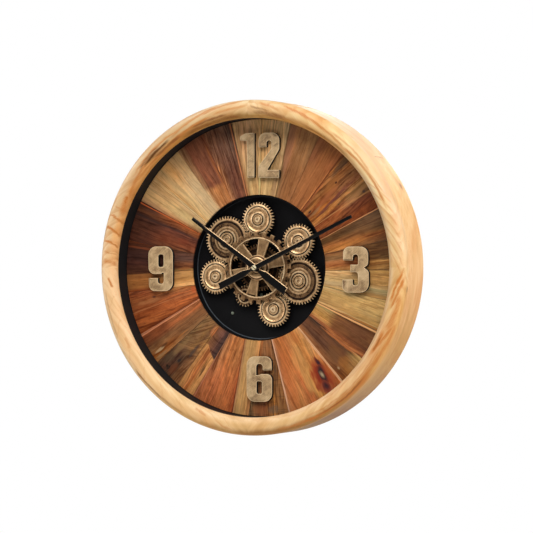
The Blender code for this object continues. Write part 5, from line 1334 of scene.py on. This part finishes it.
# ------------------------------------------------------------------ case
def build_case(pinion_at, gear_rows):
    # black band on the rim's bore, with a rolled front edge
    prof = [(241.25, 14.3, .3), (241.2, 0.0, .3), (241.2, -26.6, .4), (241.4, -27.7, .9), (241.9, -28.2, 1.0), (242.6, -28.2, .9), (243.4, -27.6, .6), (243.4, 14.0, .3), (243.1, 14.3, .3)]
    ob = spun("liner_band", prof, [BLACK_STEEL], n=288, loop=True)
    place(ob, "case", "black_steel", "liner")
    prof = [(117.6, 5.6, .3), (118.0, 5.3, .3), (240.7, 5.3, .3), (241.12, 5.7, .3), (241.12, 13.9, .3), (240.7, 14.3, .3), (118.0, 14.3, .3), (117.6, 13.9, .3)]
    ob = spun("board_ring", prof, [FIBRE], n=240, loop=True)
    place(ob, "case", "board", "back_board")

    # gear tray: pressed cup with rounded mouth, bored for every arbor
    prof = [(0.0, 13.5, .3), (115.1, 13.5, .3), (115.75, 13.2, .3), (116.0, 12.6, .3), (116.0, 0.8, .3), (116.2, 0.35, .5), (116.6, 0.2, .7), (117.0, 0.35, .5),
            (117.2, 0.8, .3), (117.2, 13.6, .3), (117.6, 14.4, .3), (118.4, 14.6, .3), (126.7, 14.6, .3), (127.0, 14.9, .3), (127.0, 15.5, .3), (126.7, 15.8, .3), (0.0, 15.8, .3)]
    tray = spun("tray_cup", prof, [TRAY_BLACK], n=192)
    holes = [((0.0, 0.0), 4.55), (pinion_at, 1.9), ((-52.0, -74.0), 1.7), ((0.0, -43.5), 1.7)]
    holes += [(at, 1.9) for _, at, _, _, _ in gear_rows]
    for at, r in holes:
        carve(tray, spun("hole", [(0.0, 12.0, 0), (r, 12.0, 0), (r, 18.0, 0), (0.0, 18.0, 0)], [], 24, at))
    remat(tray, [TRAY_BLACK], 30.0)
    place(tray, "case", "black_steel", "gear_tray")
    for name, (x, z), turn in (("tray_screw_left", (-52.0, -74.0), 25.0), ("tray_screw_low", (0.0, -43.5), 70.0)):
        screw = spun(name + "_head", [(0.0, 11.35, .5), (1.2, 11.4, .5), (2.0, 11.8, .5), (2.35, 12.4, .5), (2.35, 13.0, .5), (2.2, 13.2, .5), (1.35, 13.2, .5), (1.35, 15.7, .5), (0.0, 15.7, .5)], [STEEL], 32)
        for k in (0.0, 90.0):
            slot = solid_box("cross", (-1.7, 1.7), (10.0, 12.1), (-0.28, 0.28))
            slot.data.transform(Matrix.Rotation(math.radians(turn + k), 4, "Y"))
            carve(screw, slot)
        screw.data.transform(Matrix.Translation((x * MM, 0.0, z * MM)))
        remat(screw, [ZINC], 30.0)
        place(screw, "case", "steel", name)

    # bush that carries the wheel, and its clip
    ob = spun("bush_tube", [(2.9, -9.5, .5), (3.2, -9.8, .5), (3.9, -9.8, .5), (4.2, -9.5, .5), (4.2, 15.8, .5), (2.9, 15.8, .5)], [BRASS], 48, loop=True)
    place(ob, "case", "brass", "movement_bush")
    ob = spun("clip_ring", [(4.5, -9.4, .5), (4.8, -9.6, .5), (5.9, -9.6, .5), (6.2, -9.3, .5), (6.2, -8.7, .5), (5.9, -8.4, .5), (4.8, -8.4, .5), (4.5, -8.7, .5)], [STEEL], 48, loop=True)
    place(ob, "case", "steel", "wheel_clip")

    # movement: ribbed box with a well for its cell
    case = solid_box("movement_box", (-28.0, 28.0), (16.1, 32.1), (-28.0, 28.0), 1.6, 3)
    carve(case, spun("bore", [(0.0, 10.0, 0), (3.1, 10.0, 0), (3.1, 40.0, 0), (0.0, 40.0, 0)], [], 32))
    carve(case, solid_box("well", (-25.8, 25.8), (17.6, 40.0), (-26.6, -10.8), 0.8, 2))
    ring = spun("ring", [(9.2, 31.6, 0), (9.9, 31.6, 0), (9.9, 34.0, 0), (9.2, 34.0, 0)], [], 48, loop=True)
    carve(case, ring)
    for x in (-21.5, 21.5):
        carve(case, spun("pit", [(0.0, 31.2, 0), (2.6, 31.2, 0), (2.6, 34.0, 0), (0.0, 34.0, 0)], [], 24, (x, 21.5)))
    for z in (-4.5, 18.0):
        carve(case, solid_box("groove", (-16.0, 16.0), (31.5, 34.0), (z, z + 1.2)))
    remat(case, [PLASTIC], 30.0)
    place(case, "case", "black_plastic", "movement_case")
    motor = solid_box("motor_box", (-84.0, -15.0), (16.1, 34.1), (-106.0, -33.0), 1.6, 3)
    carve(motor, spun("bore", [(0.0, 10.0, 0), (1.9, 10.0, 0), (1.9, 25.0, 0), (0.0, 25.0, 0)], [], 24, pinion_at))
    carve(motor, solid_box("well", (-79.3, -27.7), (18.0, 40.0), (-104.0, -71.5), 0.8, 2))
    carve(motor, solid_box("slot", (-72.0, -58.0), (29.0, 40.0), (-58.0, -52.0)))
    for k in range(4):
        carve(motor, solid_box("vent", (-47.0, -24.0), (33.2, 36.0), (-62.0 + 5.0 * k, -60.4 + 5.0 * k)))
    for at in ((-79.0, -38.0), (-20.0, -38.0)):
        carve(motor, spun("pit", [(0.0, 33.0, 0), (2.2, 33.0, 0), (2.2, 36.0, 0), (0.0, 36.0, 0)], [], 24, at))
    remat(motor, [PLASTIC], 30.0)
    place(motor, "case", "black_plastic", "gear_motor_case")

    for name, x0, z, y in (("movement_cell", -25.0, -18.7, 25.3), ("motor_cell_lower", -78.5, -95.9, 26.0),
                           ("motor_cell_upper", -78.5, -79.6, 26.0)):
        prof = [(0.0, 0.0, 0.0), (6.2, 0.0, 0.0), (6.5, 0.25, 0.0), (6.9, 0.25, 0), (7.1, 0.5, 0), (7.1, 47.7, 0.0), (6.9, 48.2, 0), (6.4, 48.5, 0.0),
                (2.8, 48.5, 0.0), (2.7, 49.7, 0.0), (2.4, 50.0, 0.0), (0.0, 50.0, 0.0)]
        ob = spun(name + "_can", prof, [CELL, STEEL], 48, index=[1, 1, 0, 0, 0, 0, 0, 1, 1, 1, 1])
        ob.data.transform(Matrix.Translation((x0 * MM, y * MM, z * MM)) @ Matrix.Rotation(-math.pi / 2, 4, "Z"))
        place(ob, "case", "cell_sleeve", name)

    # knob with a knurled edge
    shape = [(-0.5, 0.0, .3), (-0.3, 0.0, .3), (-0.15, 1.0, .6), (0.15, 1.0, .6), (0.3, 0.0, .3)]
    angles, out = teeth_outline(30, 0.0, 6.55, 7.0, shape)
    ob = spun("setting_knob_knurled", [(0.0, 32.6, .3), (3.0, 32.6, .3), (3.0, 34.0, .3), (6.0, 34.0, .3), (-0.1, 34.3, .4, 1), (0.0, 34.6, .4, 1), (0.0, 38.2, .4, 1),
                               (-0.6, 38.8, .5, 1), (5.4, 39.0, .4), (4.4, 38.4, .3), (0.0, 38.3, .3)], [PLASTIC], angles=angles, outline=out)
    place(ob, "minute_hand", "black_plastic", "setting_knob")

    # switch: a slider with three grip ridges
    sw = solid_box("power_switch_slider", (-71.6, -62.4), (29.4, 35.6), (-57.6, -52.4), 0.5, 2)
    for k in range(3):
        x = -69.2 + 2.2 * k
        ridge = solid_box("ridge", (x - 0.5, x + 0.5), (35.0, 36.4), (-57.2, -52.8), 0.3, 1)
        carve(sw, ridge, operation="UNION")
    remat(sw, [PLASTIC], 30.0)
    place(sw, "power_switch", "black_plastic", "power_switch")

    # wall plate with its keyhole, and two countersunk screws
    hole = []
    for k in range(33):
        a = math.radians(118.0 + 304.0 * k / 32)
        hole.append((4.6 * math.cos(a), 255.0 + 4.6 * math.sin(a)))
    hole += [(2.2, 261.6), (1.2, 262.4), (-1.2, 262.4), (-2.2, 261.6)]
    w, h = 26.0, 8.0
    outer = rounded([(-w, 256.5 - h, 3), (w, 256.5 - h, 3), (w, 256.5 + h, 3), (-w, 256.5 + h, 3)])
    ob = plate("keyhole_plate", [outer, hole], -42.1, -40.6, [STEEL, STEEL], bevel=0.25, band=0.0, steps=2, parts=(0, 0, 0))
    ob.data.transform(Matrix.Diagonal((1.0, -1.0, 1.0, 1.0)))
    ob.data.flip_normals()
    place(ob, "case", "steel", "hanger_plate")
    small = []
    for x in (-19.0, 19.0):
        small.append(("plate_screw_%s" % ("left" if x < 0 else "right"), (x, 256.5), 42.45, 42.05, 2.6))
    for k in range(6):
        small.append(("flange_screw_%d" % (k + 1), polar(122.3, 30.0 + 60.0 * k), 17.4, 15.75, 3.0))
    for name, (x, z), top, seat, r in small:
        screw = spun(name, [(0.0, top, .5), (r * 0.55, top - 0.05, .5), (r * 0.9, (top * 2 + seat) / 3, .5), (r, seat, .5), (r * 0.5, seat - 0.6, .5), (0.0, seat - 0.6, .5)], [STEEL], 28)
        slot = solid_box("slot", (-r * 0.7, r * 0.7), (top - 0.35 * (top - seat) - 0.05, top + 1.0), (-0.3, 0.3))
        slot.data.transform(Matrix.Rotation(math.radians(17.0 * len(name) + x), 4, "Y"))
        carve(screw, slot)
        screw.data.transform(Matrix.Translation((x * MM, 0.0, z * MM)))
        remat(screw, [STEEL], 30.0)
        place(screw, "case", "steel")


build_rim()
build_planks()
pinion_at, gear_rows = build_gears()
build_numerals()
build_hands()
build_case(pinion_at, gear_rows)


# ------------------------------------------------------------------ the studio
def floor_material():
    M = Mat("studio_floor")
    n = M.noise(object_coord(M, 1.0), 3.0, 2.0, 0.5)
    col = M.ramp(n, [(0.3, (236, 236, 234)), (0.7, (246, 246, 245))])
    return M.finish(col, M.m("MULTIPLY_ADD", n, 0.1, 0.6))


me = bpy.data.meshes.new("studio_floor")
me.from_pydata([(-1.3, -1.3, -0.62), (1.3, -1.3, -0.62), (1.3, 1.3, -0.62), (-1.3, 1.3, -0.62)], [], [(0, 1, 2, 3)])
me.materials.append(floor_material())
floor = bpy.data.objects.new("studio_floor", me)
bpy.context.scene.collection.objects.link(floor)


def area_light(name, at, target, size, power, colour=(1.0, 1.0, 1.0), size_y=None):
    data = bpy.data.lights.new(name, "AREA")
    data.shape = "RECTANGLE"
    data.size = size
    data.size_y = size_y or size
    data.energy = power
    data.color = colour
    ob = bpy.data.objects.new(name, data)
    bpy.context.scene.collection.objects.link(ob)
    ob.location = at
    ob.rotation_euler = (Vector(target) - Vector(at)).to_track_quat("-Z", "Y").to_euler()
    ob.visible_camera = False
    return ob


area_light("key", (1.3, -1.8, 2.0), (0.0, 0.0, 0.0), 1.5, 46.0, (1.0, 0.99, 0.97))
area_light("key_left", (-0.4, -1.7, 2.2), (0.0, 0.0, 0.0), 1.5, 38.0, (1.0, 0.99, 0.97))
area_light("left", (-2.7, -1.2, 0.5), (0.0, 0.0, 0.0), 1.5, 22.0)
area_light("side", (2.7, 0.2, 1.0), (0.0, 0.0, 0.0), 1.5, 46.0, (1.0, 0.985, 0.96))
area_light("back", (-0.4, 3.4, 0.8), (0.0, 0.0, 0.0), 1.5, 40.0, (1.0, 0.99, 0.975))

world = bpy.data.worlds.new("studio")
bpy.context.scene.world = world
world.use_nodes = True
tree = world.node_tree
tree.nodes.clear()
out = tree.nodes.new("ShaderNodeOutputWorld")
mix = tree.nodes.new("ShaderNodeMixShader")
path = tree.nodes.new("ShaderNodeLightPath")
seen = tree.nodes.new("ShaderNodeBackground")
lit = tree.nodes.new("ShaderNodeBackground")
seen.inputs["Color"].default_value = (1.0, 1.0, 1.0, 1.0)
seen.inputs["Strength"].default_value = 1.0
lit.inputs["Color"].default_value = (0.97, 0.985, 1.0, 1.0)
lit.inputs["Strength"].default_value = 0.07
tree.links.new(path.outputs["Is Camera Ray"], mix.inputs[0])
tree.links.new(lit.outputs[0], mix.inputs[1])
tree.links.new(seen.outputs[0], mix.inputs[2])
tree.links.new(mix.outputs[0], out.inputs[0])

scene = bpy.context.scene
scene.view_settings.view_transform = "Standard"
scene.view_settings.look = "None"
scene.view_settings.exposure = 0.0
scene.view_settings.gamma = 1.0

# camera at four metres, a little to the right of the clock and level with it
AZ, EL, DIST = math.radians(24.70), math.radians(-0.10), 4.0
cam = bpy.data.cameras.new("camera")
cam_ob = bpy.data.objects.new("camera", cam)
bpy.context.scene.collection.objects.link(cam_ob)
away = Vector((math.sin(AZ) * math.cos(EL), -math.cos(AZ) * math.cos(EL), math.sin(EL)))
cam_ob.location = away * DIST
cam_ob.rotation_euler = (-away).to_track_quat("-Z", "Y").to_euler()
cam.sensor_width = 36.0
cam.lens = 2470.8 / 533.0 * 36.0
cam.shift_x = (533.0 / 2 - 258.26) / 533.0
cam.shift_y = -(533.0 / 2 - 267.71) / 533.0
cam.dof.use_dof = False
bpy.context.scene.camera = cam_ob

bpy.context.view_layer.update()
